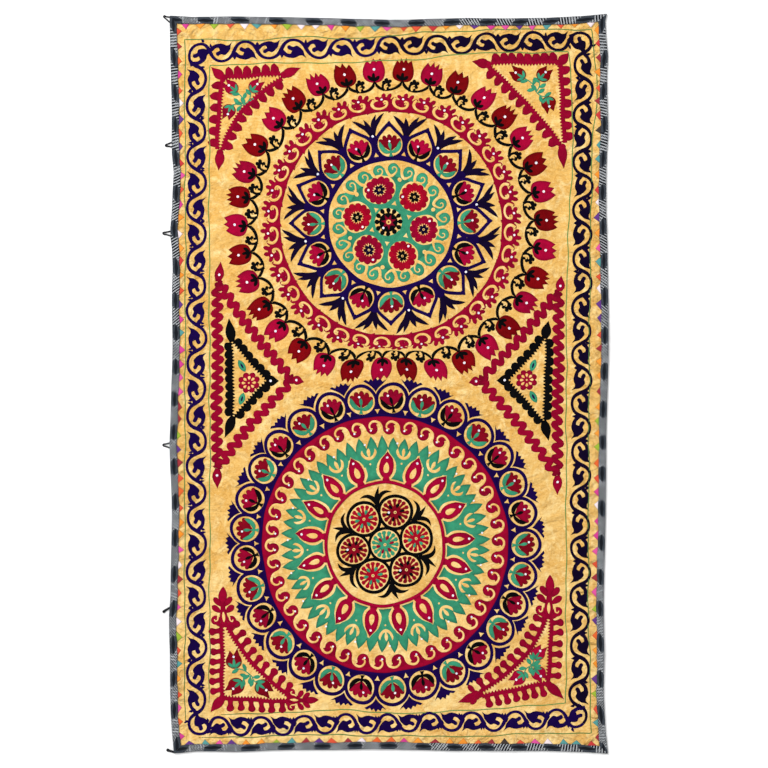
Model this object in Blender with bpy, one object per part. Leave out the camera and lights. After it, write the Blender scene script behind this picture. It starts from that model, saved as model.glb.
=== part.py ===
"""Suzani: an embroidered hanging lying flat, face up, on the surface that carries it.

One sheet of ground cloth, a patterned tape folded over each of its four edges, a row of small folded
points tucked under each tape, and six tape loops along the left edge. The cloth is not quite square:
each side bows a little, and a few soft folds lift it off the surface.
"""

import math

import bmesh
import bpy
import numpy as np

# Driving dimensions, in metres. X runs across the cloth and Y along it.
CLOTH_WIDTH = 1.348
CLOTH_LENGTH = 2.272
GROUND_THICKNESS = 0.0012
TAPE_THICKNESS = 0.0010
POINT_THICKNESS = 0.0010
GAP = 0.0003
MM = 0.001

# The binding: a tape folded lengthways over the edge, so that it has a front leg and a back leg.
BINDING_WIDTH = 0.023
FOLD_CORNER = 0.0008
GROUND_INSET = TAPE_THICKNESS + GAP + 0.0002
GROUND_UNDERSIDE = TAPE_THICKNESS + GAP
POINTS_UNDERSIDE = GROUND_UNDERSIDE + GROUND_THICKNESS + GAP
FRONT_LEG_UNDERSIDE = POINTS_UNDERSIDE + POINT_THICKNESS + GAP
EDGE_HEIGHT = FRONT_LEG_UNDERSIDE + TAPE_THICKNESS

# The ground is raised by the back leg as far in as the tape goes, then slopes down to the surface.
RAISED_TO = 0.024
FLAT_FROM = 0.070

# The row of points: a strip whose spine lies under the tape's front leg.
SPINE_OUTER = 0.005
SPINE_INNER = 0.0205
POINT_PITCH = 0.0435
POINT_CORNER_MARGIN = 0.052
POINT_WIDTHS = (0.024, 0.019, 0.027, 0.022, 0.025, 0.017)
POINT_REACHES = (0.016, 0.011, 0.019, 0.014, 0.017, 0.009, 0.012)
POINT_MERGE = 0.0015

# How far each side stands out from the straight rectangle, in millimetres, at shares of its length.
# Left and right run from the bottom up, top and bottom from left to right.
LEFT_BOW = (
    (0.00, -8), (0.03, -2), (0.07, 3), (0.13, 4), (0.18, 7), (0.22, 2), (0.33, -2), (0.42, 5), (0.47, 1),
    (0.55, -4), (0.62, -2), (0.67, -5), (0.705, 3), (0.74, -2), (0.79, -8), (0.82, -1), (0.87, -2),
    (0.92, 1), (0.965, 4), (1.00, 5),
)
RIGHT_BOW = (
    (0.00, 5), (0.03, -2), (0.08, -8), (0.13, -6), (0.20, -8), (0.33, -2), (0.42, 0), (0.55, 7), (0.60, 7),
    (0.67, 4), (0.74, 0), (0.79, 0), (0.84, 6), (0.87, 4), (0.91, 2), (0.94, 6), (0.965, 0), (0.985, -4),
    (1.00, 2),
)
TOP_BOW = (
    (0.00, 6), (0.06, 2), (0.14, 4), (0.23, 2), (0.35, -1), (0.43, -4), (0.52, -7), (0.60, -4), (0.68, -1),
    (0.75, -3), (0.85, -1), (0.93, 3), (0.97, 8), (1.00, 12),
)
BOTTOM_BOW = (
    (0.00, 8), (0.06, 1), (0.14, 3), (0.27, -3), (0.36, -3), (0.47, -6), (0.56, -3), (0.64, 0), (0.85, 0),
    (0.93, 3), (0.97, 6), (1.00, 9),
)

# Soft folds that lift the whole edge: side, share along it, half length in metres, height in millimetres.
EDGE_RIPPLES = (
    ("left", 0.18, 0.10, 1.6), ("left", 0.42, 0.09, 1.2), ("left", 0.79, 0.08, 1.8),
    ("right", 0.14, 0.09, 1.4), ("right", 0.56, 0.14, 1.8), ("right", 0.85, 0.08, 1.5),
    ("top", 0.30, 0.09, 1.3), ("top", 0.74, 0.08, 1.5),
    ("bottom", 0.47, 0.12, 1.6), ("bottom", 0.76, 0.10, 1.8),
)
RIPPLE_DEPTH = 0.26

# Storage creases: straight low ridges right across the cloth, at this y, with this height and half width.
CREASES = ((0.478, 1.5, 0.027), (-0.260, 0.8, 0.030))

# Hanging loops on the left edge: y of the root, reach out, shift of the tip along y, half width at the root.
LOOPS = (
    ("loop_1", 1.124, 0.0205, 0.0095, 0.0078),
    ("loop_2", 0.739, 0.0215, -0.0030, 0.0070),
    ("loop_3", 0.465, 0.0250, 0.0005, 0.0068),
    ("loop_4", -0.188, 0.0225, 0.0010, 0.0072),
    ("loop_5", -0.696, 0.0215, -0.0040, 0.0074),
    ("loop_6", -1.125, 0.0220, -0.0015, 0.0068),
)
LOOP_TAPE_WIDTH = 0.0034
LOOP_TAPE_HEIGHT = 0.0026
LOOP_TIP_RADIUS = 0.0026
LOOP_STUB = 0.0016
LOOP_TIP_STEPS = 6

# Spacing of the lattice that every piece is laid on.
CELL = 0.060

COLOURS = {
    "ground": (0.84, 0.56, 0.17),
    "binding": (0.085, 0.090, 0.105),
    "points": (0.62, 0.12, 0.14),
    "loop": (0.020, 0.020, 0.022),
}

HALF_WIDTH = CLOTH_WIDTH / 2
HALF_LENGTH = CLOTH_LENGTH / 2


def material(name, roughness):
    """A plain cloth finish in this piece's colour."""
    made = bpy.data.materials.new(name)
    made.use_nodes = True
    shader = made.node_tree.nodes["Principled BSDF"]
    shader.inputs["Base Color"].default_value = (*COLOURS[name], 1)
    shader.inputs["Roughness"].default_value = roughness
    shader.inputs["Metallic"].default_value = 0.0
    return made


def smooth_between(table, at):
    """Values of a (place, value) table at these places, easing from row to row with no kinks."""
    places, values = np.array(table, float).T
    at = np.clip(at, places[0], places[-1])
    row = np.clip(np.searchsorted(places, at, side="right") - 1, 0, len(places) - 2)
    share = (at - places[row]) / (places[row + 1] - places[row])
    eased = share * share * (3 - 2 * share)
    return values[row] + (values[row + 1] - values[row]) * eased


def lattice_lines(half, extra):
    """Lines across the cloth: the edge, the tape's reach, the foot of the slope, then even cells."""
    inner = half - FLAT_FROM
    even = np.linspace(-inner, inner, round(2 * inner / CELL) + 1)
    near = np.array(extra, float).reshape(-1)
    if len(near):
        even = even[[min(abs(near - line)) > CELL / 4 for line in even]]
    edges = [-half, -half + RAISED_TO, half - RAISED_TO, half]
    return np.unique(np.concatenate([even, near, edges]))


X_LINES = lattice_lines(HALF_WIDTH, [])
Y_LINES = lattice_lines(HALF_LENGTH, [[y - width, y, y + width] for y, _, width in CREASES])


def folds(x, y):
    """Height of the cloth's folds above the surface, in metres."""
    across, along = (x + HALF_WIDTH) / CLOTH_WIDTH, (y + HALF_LENGTH) / CLOTH_LENGTH
    height = np.zeros(np.broadcast(x, y).shape)
    for side, centre, half, rise in EDGE_RIPPLES:
        share, span = (along, CLOTH_LENGTH) if side in ("left", "right") else (across, CLOTH_WIDTH)
        inwards = {"left": x + HALF_WIDTH, "right": HALF_WIDTH - x,
                   "bottom": y + HALF_LENGTH, "top": HALF_LENGTH - y}[side]
        hump = np.cos(np.clip((share - centre) * span / half, -1, 1) * math.pi / 2) ** 2
        height += rise * MM * hump * np.clip(1 - inwards / RIPPLE_DEPTH, 0, 1)
    for line, rise, width in CREASES:
        height += rise * MM * np.clip(1 - np.abs(y - line) / width, 0, 1)
    return height


def lattice():
    """Where each crossing of the lattice lies: the straight rectangle bent to its bowed sides, and its fold height."""
    x, y = np.meshgrid(X_LINES, Y_LINES, indexing="ij")
    across, along = (x + HALF_WIDTH) / CLOTH_WIDTH, (y + HALF_LENGTH) / CLOTH_LENGTH
    left, right = smooth_between(LEFT_BOW, along), smooth_between(RIGHT_BOW, along)
    bottom, top = smooth_between(BOTTOM_BOW, across), smooth_between(TOP_BOW, across)
    bent_x = x + MM * (right * across**2 - left * (1 - across) ** 2)
    bent_y = y + MM * (top * along**2 - bottom * (1 - along) ** 2)
    return np.stack([bent_x, bent_y, folds(x, y)], axis=-1)


LATTICE = lattice()


def place(x, y, height):
    """The point that lies over (x, y) of the straight rectangle, this high over the folded surface."""
    x, y, height = np.broadcast_arrays(np.asarray(x, float), y, height)
    i = np.clip(np.searchsorted(X_LINES, x) - 1, 0, len(X_LINES) - 2)
    j = np.clip(np.searchsorted(Y_LINES, y) - 1, 0, len(Y_LINES) - 2)
    s = ((x - X_LINES[i]) / (X_LINES[i + 1] - X_LINES[i]))[..., None]
    t = ((y - Y_LINES[j]) / (Y_LINES[j + 1] - Y_LINES[j]))[..., None]
    near = LATTICE[i, j] * (1 - t) + LATTICE[i, j + 1] * t
    far = LATTICE[i + 1, j] * (1 - t) + LATTICE[i + 1, j + 1] * t
    point = near * (1 - s) + far * s
    point[..., 2] += height
    return point


def slope(inset):
    """Height of the ground's underside this far in from the nearest side."""
    return GROUND_UNDERSIDE * np.clip((FLAT_FROM - inset) / (FLAT_FROM - RAISED_TO), 0, 1)


def node(name, shape, finish, root):
    """Turns a bmesh into the object of this name, under the root."""
    bmesh.ops.recalc_face_normals(shape, faces=shape.faces[:])
    mesh = bpy.data.meshes.new(name)
    shape.to_mesh(mesh)
    shape.free()
    mesh.materials.append(finish)
    made = bpy.data.objects.new(name, mesh)
    made.parent = root
    bpy.context.scene.collection.objects.link(made)
    return made


def thicken(shape, thickness):
    """Closes a sheet of faces into a solid of this thickness, straight up from it."""
    raised = bmesh.ops.extrude_face_region(shape, geom=shape.faces[:], use_keep_orig=True)
    for item in raised["geom"]:
        if isinstance(item, bmesh.types.BMVert):
            item.co.z += thickness


def sweep(rings):
    """A closed solid from rings of points, each joined to the next, with a face at both ends."""
    shape = bmesh.new()
    loops = [[shape.verts.new(point) for point in ring] for ring in rings]
    for here, ahead in zip(loops[:-1], loops[1:]):
        for k in range(len(here)):
            after = (k + 1) % len(here)
            shape.faces.new((here[k], here[after], ahead[after], ahead[k]))
    shape.faces.new(loops[0])
    shape.faces.new(loops[-1][::-1])
    return shape


def ground_cloth(finish, root):
    """The sheet that carries the embroidery, its edge inside the folded tape."""
    def inset_lines(lines, half):
        return np.concatenate([[-half + GROUND_INSET], lines[1:-1], [half - GROUND_INSET]])

    x, y = np.meshgrid(inset_lines(X_LINES, HALF_WIDTH), inset_lines(Y_LINES, HALF_LENGTH), indexing="ij")
    inset = np.minimum(HALF_WIDTH - np.abs(x), HALF_LENGTH - np.abs(y))
    points = place(x, y, slope(inset))
    shape = bmesh.new()
    verts = [[shape.verts.new(point) for point in row] for row in points]
    for i, j in np.ndindex(len(verts) - 1, len(verts[0]) - 1):
        low, high = (verts[i][j], verts[i + 1][j]), (verts[i + 1][j + 1], verts[i][j + 1])
        # Each cell is split along the diagonal that points at the middle of the cloth, so that the
        # slopes behind the tapes meet in a mitre at the corners.
        if (i < len(verts) / 2) == (j < len(verts[0]) / 2):
            cell = ((low[0], low[1], high[0]), (low[0], high[0], high[1]))
        else:
            cell = ((low[0], low[1], high[1]), (low[1], high[0], high[1]))
        for corner in cell:
            shape.faces.new(corner)
    thicken(shape, GROUND_THICKNESS)
    return node("ground_cloth", shape, finish, root)


def side_point(side, along, inset, height):
    """A point named by its side, its place along that side from the middle, and its distance in from it."""
    x, y = {
        "left": (inset - HALF_WIDTH, along),
        "right": (HALF_WIDTH - inset, along),
        "bottom": (along, inset - HALF_LENGTH),
        "top": (along, HALF_LENGTH - inset),
    }[side]
    return place(x, y, height)


def side_run(side):
    """Half the side's length, and the lattice lines that cross it clear of its mitred ends."""
    half, lines = (HALF_LENGTH, Y_LINES) if side in ("left", "right") else (HALF_WIDTH, X_LINES)
    return half, lines[1:-1]


def binding(side, finish, root):
    """A tape folded over one side: a U of constant thickness round the cloth's edge, mitred at both ends."""
    back, front = TAPE_THICKNESS, FRONT_LEG_UNDERSIDE
    profile = (
        (BINDING_WIDTH, 0), (FOLD_CORNER, 0), (0, FOLD_CORNER),
        (0, EDGE_HEIGHT - FOLD_CORNER), (FOLD_CORNER, EDGE_HEIGHT), (BINDING_WIDTH, EDGE_HEIGHT),
        (BINDING_WIDTH, front), (TAPE_THICKNESS, front), (TAPE_THICKNESS, back), (BINDING_WIDTH, back),
    )
    half, stations = side_run(side)
    reach = half - GAP / 2
    rings = [[side_point(side, inset - reach, inset, height) for inset, height in profile]]
    rings += [[side_point(side, at, inset, height) for inset, height in profile] for at in stations]
    rings += [[side_point(side, reach - inset, inset, height) for inset, height in profile]]
    return node(f"binding_{side}", sweep(rings), finish, root)


def row_of_points(side, finish, root):
    """A strip of small triangles pointing inwards, on a spine that the tape's front leg covers."""
    half, stations = side_run(side)
    count = round((2 * half - 2 * POINT_CORNER_MARGIN) / POINT_PITCH)
    centres = np.linspace(-half + POINT_CORNER_MARGIN, half - POINT_CORNER_MARGIN, count)
    widths = np.resize(POINT_WIDTHS, count)
    reaches = np.resize(POINT_REACHES, count)
    starts, ends = centres - widths / 2, centres + widths / 2

    # The long sides' spines run through the corners, and the short sides' spines stop short of them.
    end = half - (SPINE_OUTER if side in ("left", "right") else SPINE_INNER + 2 * GAP)
    roots = np.concatenate([starts, ends, [-end, end]])
    between = [s for s in stations if abs(s) < end and np.abs(roots - s).min() > POINT_MERGE]
    along = np.sort(np.concatenate([roots, between]))

    def height(inset):
        return slope(inset) + GROUND_THICKNESS + GAP

    shape = bmesh.new()
    outer = [shape.verts.new(side_point(side, a, SPINE_OUTER, height(SPINE_OUTER))) for a in along]
    inner = [shape.verts.new(side_point(side, a, SPINE_INNER, height(SPINE_INNER))) for a in along]
    for k in range(len(along) - 1):
        shape.faces.new((outer[k], outer[k + 1], inner[k + 1], inner[k]))
    for start, end, centre, reach in zip(starts, ends, centres, reaches):
        inset = BINDING_WIDTH + reach
        tip = shape.verts.new(side_point(side, centre, inset, height(inset)))
        first, last = np.searchsorted(along, [start, end])
        for k in range(first, last):
            shape.faces.new((inner[k], inner[k + 1], tip))
    thicken(shape, POINT_THICKNESS)
    return node(f"points_{side}", shape, finish, root)


def tape_ring(point, ahead, width, height):
    """Eight points round a flat tape at this point of its route, square to the direction ahead."""
    aside = np.array([-ahead[1], ahead[0]])
    turns = (np.arange(8) + 0.5) * math.pi / 4
    reach = 1 / math.cos(math.pi / 8)
    across, up = np.cos(turns) * width / 2 * reach, np.sin(turns) * height / 2 * reach
    return [(*(point + aside * a), height / 2 + u) for a, u in zip(across, up)]


def hanging_loop(name, root_y, reach, lean, half_root, finish, root):
    """A short tape sewn to the edge by both ends: two legs drawn together at a rounded tip."""
    def edge(y):
        return side_point("left", y, 0, 0)[:2]

    roots = [edge(root_y + half_root), edge(root_y - half_root)]
    starts = [point - np.array([GAP, 0]) for point in roots]
    stubs = [point - np.array([LOOP_STUB, 0]) for point in starts]
    tip = edge(root_y) + np.array([LOOP_TIP_RADIUS + LOOP_TAPE_WIDTH / 2 - reach, lean])
    turns = np.linspace(math.pi / 2, 3 * math.pi / 2, LOOP_TIP_STEPS + 1)
    bend = [tip + LOOP_TIP_RADIUS * np.array([math.cos(t), math.sin(t)]) for t in turns]
    route = np.array([starts[0], stubs[0], *bend, stubs[1], starts[1]])
    ahead = np.gradient(route, axis=0)
    ahead[0], ahead[-1] = (-1, 0), (1, 0)
    ahead /= np.linalg.norm(ahead, axis=1)[:, None]
    rings = [tape_ring(p, a, LOOP_TAPE_WIDTH, LOOP_TAPE_HEIGHT) for p, a in zip(route, ahead)]
    return node(name, sweep(rings), finish, root)


def centre_on_origin(root, pieces):
    """Moves the root so that the middle of the whole object's box stands over the origin."""
    corners = np.array([v.co for piece in pieces for v in piece.data.vertices])
    middle = (corners.min(axis=0) + corners.max(axis=0)) / 2
    root.location = (-middle[0], -middle[1], 0)


def main():
    for obj in list(bpy.data.objects):
        bpy.data.objects.remove(obj)
    root = bpy.data.objects.new("suzani", None)
    bpy.context.scene.collection.objects.link(root)
    finishes = {name: material(name, 0.85) for name in COLOURS}

    pieces = [ground_cloth(finishes["ground"], root)]
    for side in ("left", "right", "bottom", "top"):
        pieces.append(binding(side, finishes["binding"], root))
        pieces.append(row_of_points(side, finishes["points"], root))
    for row in LOOPS:
        pieces.append(hanging_loop(*row, finishes["loop"], root))
    centre_on_origin(root, pieces)


main()
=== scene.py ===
"""Looks of the suzani: ground cloth, tape binding, folded points, hanging loops, embroidery and sequins.

The design is laid out in millimetres on the flat cloth, about the middle of the straight rectangle that
the cloth was cut to: x across, y along. Each stitched shape is a grid of points (x, y, height over the
cloth), and the whole design is then laid on the cloth's folds.
"""

import math
from collections import defaultdict

import bpy
import numpy as np
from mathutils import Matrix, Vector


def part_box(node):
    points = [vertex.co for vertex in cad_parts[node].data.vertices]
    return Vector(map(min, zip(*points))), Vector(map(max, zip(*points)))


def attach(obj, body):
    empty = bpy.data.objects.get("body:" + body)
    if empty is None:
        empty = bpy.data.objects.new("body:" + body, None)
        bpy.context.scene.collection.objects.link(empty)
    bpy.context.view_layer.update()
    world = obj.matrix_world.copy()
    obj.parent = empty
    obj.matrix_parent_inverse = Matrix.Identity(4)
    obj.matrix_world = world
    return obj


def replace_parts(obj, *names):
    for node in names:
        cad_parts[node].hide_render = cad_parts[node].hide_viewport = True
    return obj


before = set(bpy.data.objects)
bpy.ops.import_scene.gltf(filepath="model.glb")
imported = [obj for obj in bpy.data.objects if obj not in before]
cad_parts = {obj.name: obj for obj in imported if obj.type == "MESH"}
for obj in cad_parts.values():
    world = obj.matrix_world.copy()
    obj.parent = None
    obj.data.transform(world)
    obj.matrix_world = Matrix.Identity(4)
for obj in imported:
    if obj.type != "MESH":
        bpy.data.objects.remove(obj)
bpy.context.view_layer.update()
random = np.random.default_rng(19)

MM = 0.001
TURN = 2 * math.pi

# ---------------------------------------------------------------- the cloth's own shape

# Cuts and layers of the edge, as the solids have them, in metres.
HALF_WIDTH = 0.674
HALF_LENGTH = 1.136
GROUND_THICKNESS = 0.0012
TAPE_THICKNESS = 0.0010
BINDING_WIDTH = 0.023
GROUND_UNDERSIDE = 0.0013
FRONT_LEG_UNDERSIDE = 0.0041
EDGE_HEIGHT = 0.0051
RAISED_TO = 0.024
FLAT_FROM = 0.070

# Folds that the solids have: side, share along it, half length in metres, height in millimetres.
EDGE_RIPPLES = (
    ("left", 0.18, 0.10, 1.6), ("left", 0.42, 0.09, 1.2), ("left", 0.79, 0.08, 1.8),
    ("right", 0.14, 0.09, 1.4), ("right", 0.56, 0.14, 1.8), ("right", 0.85, 0.08, 1.5),
    ("top", 0.30, 0.09, 1.3), ("top", 0.74, 0.08, 1.5),
    ("bottom", 0.47, 0.12, 1.6), ("bottom", 0.76, 0.10, 1.8),
)
RIPPLE_DEPTH = 0.26
CREASES = ((0.478, 1.5, 0.027), (-0.260, 0.8, 0.030))

# Small creases of the cloth: both ends (x, y), half width and height, all in millimetres.
SMALL_CREASES = (
    (-300, 953, -140, 992, 10, 1.5), (190, 978, 284, 1014, 8, 1.4), (-545, 646, -462, 610, 9, 1.3),
    (-552, 484, -508, 481, 6, 1.2), (-548, 462, -486, 438, 7, 1.4), (478, 773, 491, 718, 8, 1.6),
    (500, 702, 532, 627, 9, 1.8), (531, 556, 563, 472, 9, 1.9), (521, 453, 558, 380, 8, 1.6),
    (460, 366, 553, 385, 8, 1.5), (-640, 1100, -500, 1074, 8, 1.2), (-470, 1108, -310, 1072, 9, 1.4),
    (-240, 1104, -90, 1086, 8, 1.1), (70, 1112, 230, 1102, 7, 1.0), (-553, -330, -545, -520, 14, 1.2),
    (-520, -350, -505, -540, 12, 1.0), (-553, -535, -486, -545, 6, 0.9), (-550, -566, -484, -572, 6, 0.9),
    (-552, -596, -500, -600, 6, 0.8), (470, -275, 488, -560, 10, 1.2), (497, -290, 506, -580, 9, 1.2),
    (522, -300, 522, -540, 8, 1.0), (541, -330, 536, -470, 8, 0.8), (-513, -872, -490, -912, 7, 1.0),
    (-600, -1085, -420, -1100, 9, 1.1), (-330, -1098, -150, -1090, 8, 0.9), (60, -1100, 240, -1106, 8, 1.0),
    (330, -1094, 520, -1102, 9, 1.2), (620, 300, 640, 120, 9, 1.0), (640, 860, 655, 700, 8, 1.0),
    (-650, 840, -640, 700, 8, 1.0), (-655, 260, -640, 120, 9, 1.2), (-650, -640, -642, -800, 8, 1.0),
    (640, -250, 648, -420, 9, 1.1), (-185, 490, -140, 496, 6, 1.0), (-60, -10, 40, -22, 16, 0.8),
)
PUCKER_HEIGHT = 0.35
GROUND_CELLS = (156, 262)


def outer_edge(side):
    """The tape's outer edge on one side: its places along the side, and how far out it is at each."""
    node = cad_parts[f"binding_{side}"].data
    points = np.empty(len(node.vertices) * 3)
    node.vertices.foreach_get("co", points)
    points = np.unique(points.reshape(-1, 3)[:, :2].round(5), axis=0)
    along, across = (1, 0) if side in ("left", "right") else (0, 1)
    outwards = -1 if side in ("left", "bottom") else 1
    points = points[np.argsort(points[:, along])]
    stations = np.split(points, np.flatnonzero(np.diff(points[:, along]) > 0.005) + 1)
    outmost = np.array([s[np.argmax(outwards * s[:, across])] for s in stations])
    limit = outwards * outmost[:, across] > np.median(outwards * outmost[:, across]) - BINDING_WIDTH / 2
    return outmost[limit, along], outmost[limit, across]


EDGES = {side: outer_edge(side) for side in ("left", "right", "bottom", "top")}
LOWEST, HIGHEST = EDGES["left"][0][[0, -1]]
LEFTMOST, RIGHTMOST = EDGES["bottom"][0][[0, -1]]
MIDDLE = np.array([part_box("ground_cloth")[1].x - HALF_WIDTH - 0.0055, (LOWEST + HIGHEST) / 2])


def edge(side, at):
    """How far out this side of the cloth reaches at these places along it."""
    return np.interp(at, *EDGES[side])


def crease(x, y, x0, y0, x1, y1, half_width):
    """A soft ridge from 0 to 1 along a line: cos^2 of the distance from it, fading over its last third."""
    length = math.hypot(x1 - x0, y1 - y0)
    along = ((x - x0) * (x1 - x0) + (y - y0) * (y1 - y0)) / length
    across = ((x - x0) * (y1 - y0) - (y - y0) * (x1 - x0)) / length
    fade = np.clip(3 * np.minimum(along, length - along) / length, 0, 1)
    wander = across + half_width * 0.5 * np.sin(along / length * 5)
    return np.cos(np.clip(wander / half_width, -1, 1) * math.pi / 2) ** 2 * fade * fade * (3 - 2 * fade)


def cloth_height(x, y):
    """Height in metres of the cloth's face over the surface it lies on, at world places x and y."""
    inwards = {
        "left": x - edge("left", y), "right": edge("right", y) - x,
        "bottom": y - edge("bottom", x), "top": edge("top", x) - y,
    }
    inset = np.minimum.reduce(list(inwards.values()))
    slope = np.clip((FLAT_FROM - inset) / (FLAT_FROM - RAISED_TO), 0, 1)
    height = GROUND_THICKNESS + GROUND_UNDERSIDE * slope
    middle_x, middle_y = x - MIDDLE[0], y - MIDDLE[1]
    for side, share, half, rise in EDGE_RIPPLES:
        if side in ("left", "right"):
            away = middle_y + HALF_LENGTH - share * 2 * HALF_LENGTH
        else:
            away = middle_x + HALF_WIDTH - share * 2 * HALF_WIDTH
        hump = np.cos(np.clip(away / half, -1, 1) * math.pi / 2) ** 2
        height = height + rise * MM * hump * np.clip(1 - inwards[side] / RIPPLE_DEPTH, 0, 1)
    for line, rise, width in CREASES:
        height = height + rise * MM * np.clip(1 - np.abs(middle_y - line) / width, 0, 1)
    across, along = middle_x / MM, middle_y / MM
    for x0, y0, x1, y1, half_width, rise in SMALL_CREASES:
        height = height + rise * MM * crease(across, along, x0, y0, x1, y1, half_width)
    pucker = np.sin(across / 17 + 3 * np.sin(along / 61)) * np.sin(along / 23 + 2 * np.sin(across / 47))
    near_edge = np.clip(1.4 - inset / 0.12, 0.35, 1)
    return height + PUCKER_HEIGHT * MM * (pucker * near_edge + 1) * np.clip(inset / 0.012, 0, 1)


# The cloth's face, on an even grid over its straight rectangle: every stitched shape lies on this.
FACE_X = np.linspace(LEFTMOST - 0.02, RIGHTMOST + 0.02, GROUND_CELLS[0] + 1)
FACE_Y = np.linspace(LOWEST - 0.02, HIGHEST + 0.02, GROUND_CELLS[1] + 1)
FACE_HEIGHT = cloth_height(*np.meshgrid(FACE_X, FACE_Y, indexing="ij"))


def on_face(x, y):
    """Height of the cloth's face at world places, straight between the points of its grid."""
    i = np.clip((x - FACE_X[0]) / (FACE_X[1] - FACE_X[0]), 0, GROUND_CELLS[0] - 0.001)
    j = np.clip((y - FACE_Y[0]) / (FACE_Y[1] - FACE_Y[0]), 0, GROUND_CELLS[1] - 0.001)
    low_i, low_j = i.astype(int), j.astype(int)
    s, t = i - low_i, j - low_j
    near = FACE_HEIGHT[low_i, low_j] * (1 - t) + FACE_HEIGHT[low_i, low_j + 1] * t
    far = FACE_HEIGHT[low_i + 1, low_j] * (1 - t) + FACE_HEIGHT[low_i + 1, low_j + 1] * t
    return near * (1 - s) + far * s


# ---------------------------------------------------------------- finishes


class Value:
    """A number that varies over a surface. Arithmetic on it adds the Math nodes that work it out."""

    def __init__(self, finish, socket):
        self.finish = finish
        self.socket = socket

    def math(self, operation, *values):
        return self.finish.node("ShaderNodeMath", {"operation": operation}, dict(enumerate(values)))

    def __add__(self, other):
        return self.math("ADD", self, other)

    __radd__ = __add__

    def __mul__(self, other):
        return self.math("MULTIPLY", self, other)

    __rmul__ = __mul__

    def __sub__(self, other):
        return self.math("SUBTRACT", self, other)

    def __rsub__(self, other):
        return self.math("SUBTRACT", other, self)

    def __gt__(self, other):
        return self.math("GREATER_THAN", self, other)

    def sine(self):
        return self.math("SINE", self)

    def size(self):
        return self.math("ABSOLUTE", self)

    def power(self, exponent):
        return self.math("POWER", self, exponent)

    def share(self):
        return self.math("FRACT", self)

    def most(self, other):
        return self.math("MAXIMUM", self, other)

    def between(self, low, high):
        """0 below low, 1 above high, and smooth in between."""
        return self.finish.node(
            "ShaderNodeMapRange", {"interpolation_type": "SMOOTHSTEP"}, {0: self, 1: low, 2: high}
        )


class Finish:
    """A material of one Principled shader, with the nodes that vary it."""

    def __init__(self, name, roughness, sheen=0.0, gloss=0.1, coat=0.0):
        self.material = bpy.data.materials.new(name)
        self.material.use_nodes = True
        self.tree = self.material.node_tree
        self.shader = self.tree.nodes["Principled BSDF"]
        self.shader.inputs["Roughness"].default_value = roughness
        self.shader.inputs["Sheen Weight"].default_value = sheen
        self.shader.inputs["Sheen Roughness"].default_value = 0.4
        self.shader.inputs["Specular IOR Level"].default_value = gloss
        self.shader.inputs["Coat Weight"].default_value = coat

    def plug(self, value, socket):
        if isinstance(value, Value):
            self.tree.links.new(value.socket, socket)
        else:
            socket.default_value = value

    def node(self, kind, settings, inputs, output=0):
        """Adds a node, sets its own settings first, then the values or links of its sockets."""
        made = self.tree.nodes.new(kind)
        for name, setting in settings.items():
            setattr(made, name, setting)
        for name, value in inputs.items():
            self.plug(value, made.inputs[name])
        return Value(self, made.outputs[output])

    def coordinates(self, kind="Object"):
        return self.node("ShaderNodeTexCoord", {}, {}, kind)

    def parts(self, vector):
        """The x and y of a vector."""
        split = self.node("ShaderNodeSeparateXYZ", {}, {0: vector})
        return split, Value(self, split.socket.node.outputs[1])

    def noise(self, vector, scale, detail=2.0, stretch=(1, 1, 1), distortion=0.0):
        moved = self.node("ShaderNodeMapping", {}, {"Vector": vector, "Scale": stretch})
        settings = {"Vector": moved, "Scale": scale, "Detail": detail, "Distortion": distortion}
        return self.node("ShaderNodeTexNoise", {}, settings)

    def mix(self, factor, low, high):
        """A colour from low, where the factor is 0, to high, where it is 1."""
        return self.node("ShaderNodeMix", {"data_type": "RGBA"}, {0: factor, 6: low, 7: high}, 2)

    def attribute(self, name):
        return self.node("ShaderNodeAttribute", {"attribute_name": name}, {}, "Fac")

    def colour(self, value):
        self.plug(value, self.shader.inputs["Base Color"])
        return self

    def relief(self, height, distance):
        bump = self.node("ShaderNodeBump", {}, {"Height": height, "Distance": distance}, "Normal")
        self.plug(bump, self.shader.inputs["Normal"])
        return self


def dye(red, green, blue):
    """A screen colour from 0 to 255 as the shader's linear one."""
    channel = np.array([red, green, blue]) / 255
    linear = np.where(channel <= 0.04045, channel / 12.92, ((channel + 0.055) / 1.055) ** 2.4)
    return (*(float(v) for v in linear), 1.0)


def shade(colour, factor):
    """The same dye, lighter or darker."""
    return (*(min(1.0, v * factor) for v in colour[:3]), 1.0)


ROW_PITCH = 0.0014
LINK_PITCH = 0.0030


def thread_finish(name, colour, rim_shade=0.55):
    """Chain stitch: rows v / pitch across, links u / pitch along, each second row half a link ahead.

    The dye is cloudy and differs a little from shape to shape; painted shade darkens it where the padding
    falls to its rim.
    """
    made = Finish(name, 0.7, 0.0, 0.04)
    along, across = made.parts(made.coordinates("UV"))
    row = (across * (math.pi / ROW_PITCH)).sine().size()
    offset = (across * (math.pi / (2 * ROW_PITCH))).sine()
    link = (along * (math.pi / LINK_PITCH) + offset).sine().size()
    stitch = row * (link * 0.45 + 0.55)
    cloudy = made.noise(made.coordinates(), 60, 3, distortion=0.4)
    fibre = made.noise(made.coordinates(), 420, 2)
    # The stitch term puts painted light on the crests of the rows and links and painted shade in the grooves
    # between them; the tone, cloud and fibre terms vary the dye at random.
    tone = made.attribute("tone") * 0.5 + cloudy * 1.2 + stitch * 0.2 + fibre * 0.9 - 0.85
    stitched_dye = made.mix(tone, shade(colour, 0.72), shade(colour, 1.28))
    # Painted shade: each shape darkens towards a quarter of its dye where its padding falls to its rim.
    rim = made.attribute("rim").between(0.25, 0.95) * rim_shade
    made.colour(made.mix(rim, stitched_dye, shade(colour, 0.25)))
    return made.relief(stitch + fibre * 0.4, 0.0005)


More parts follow.
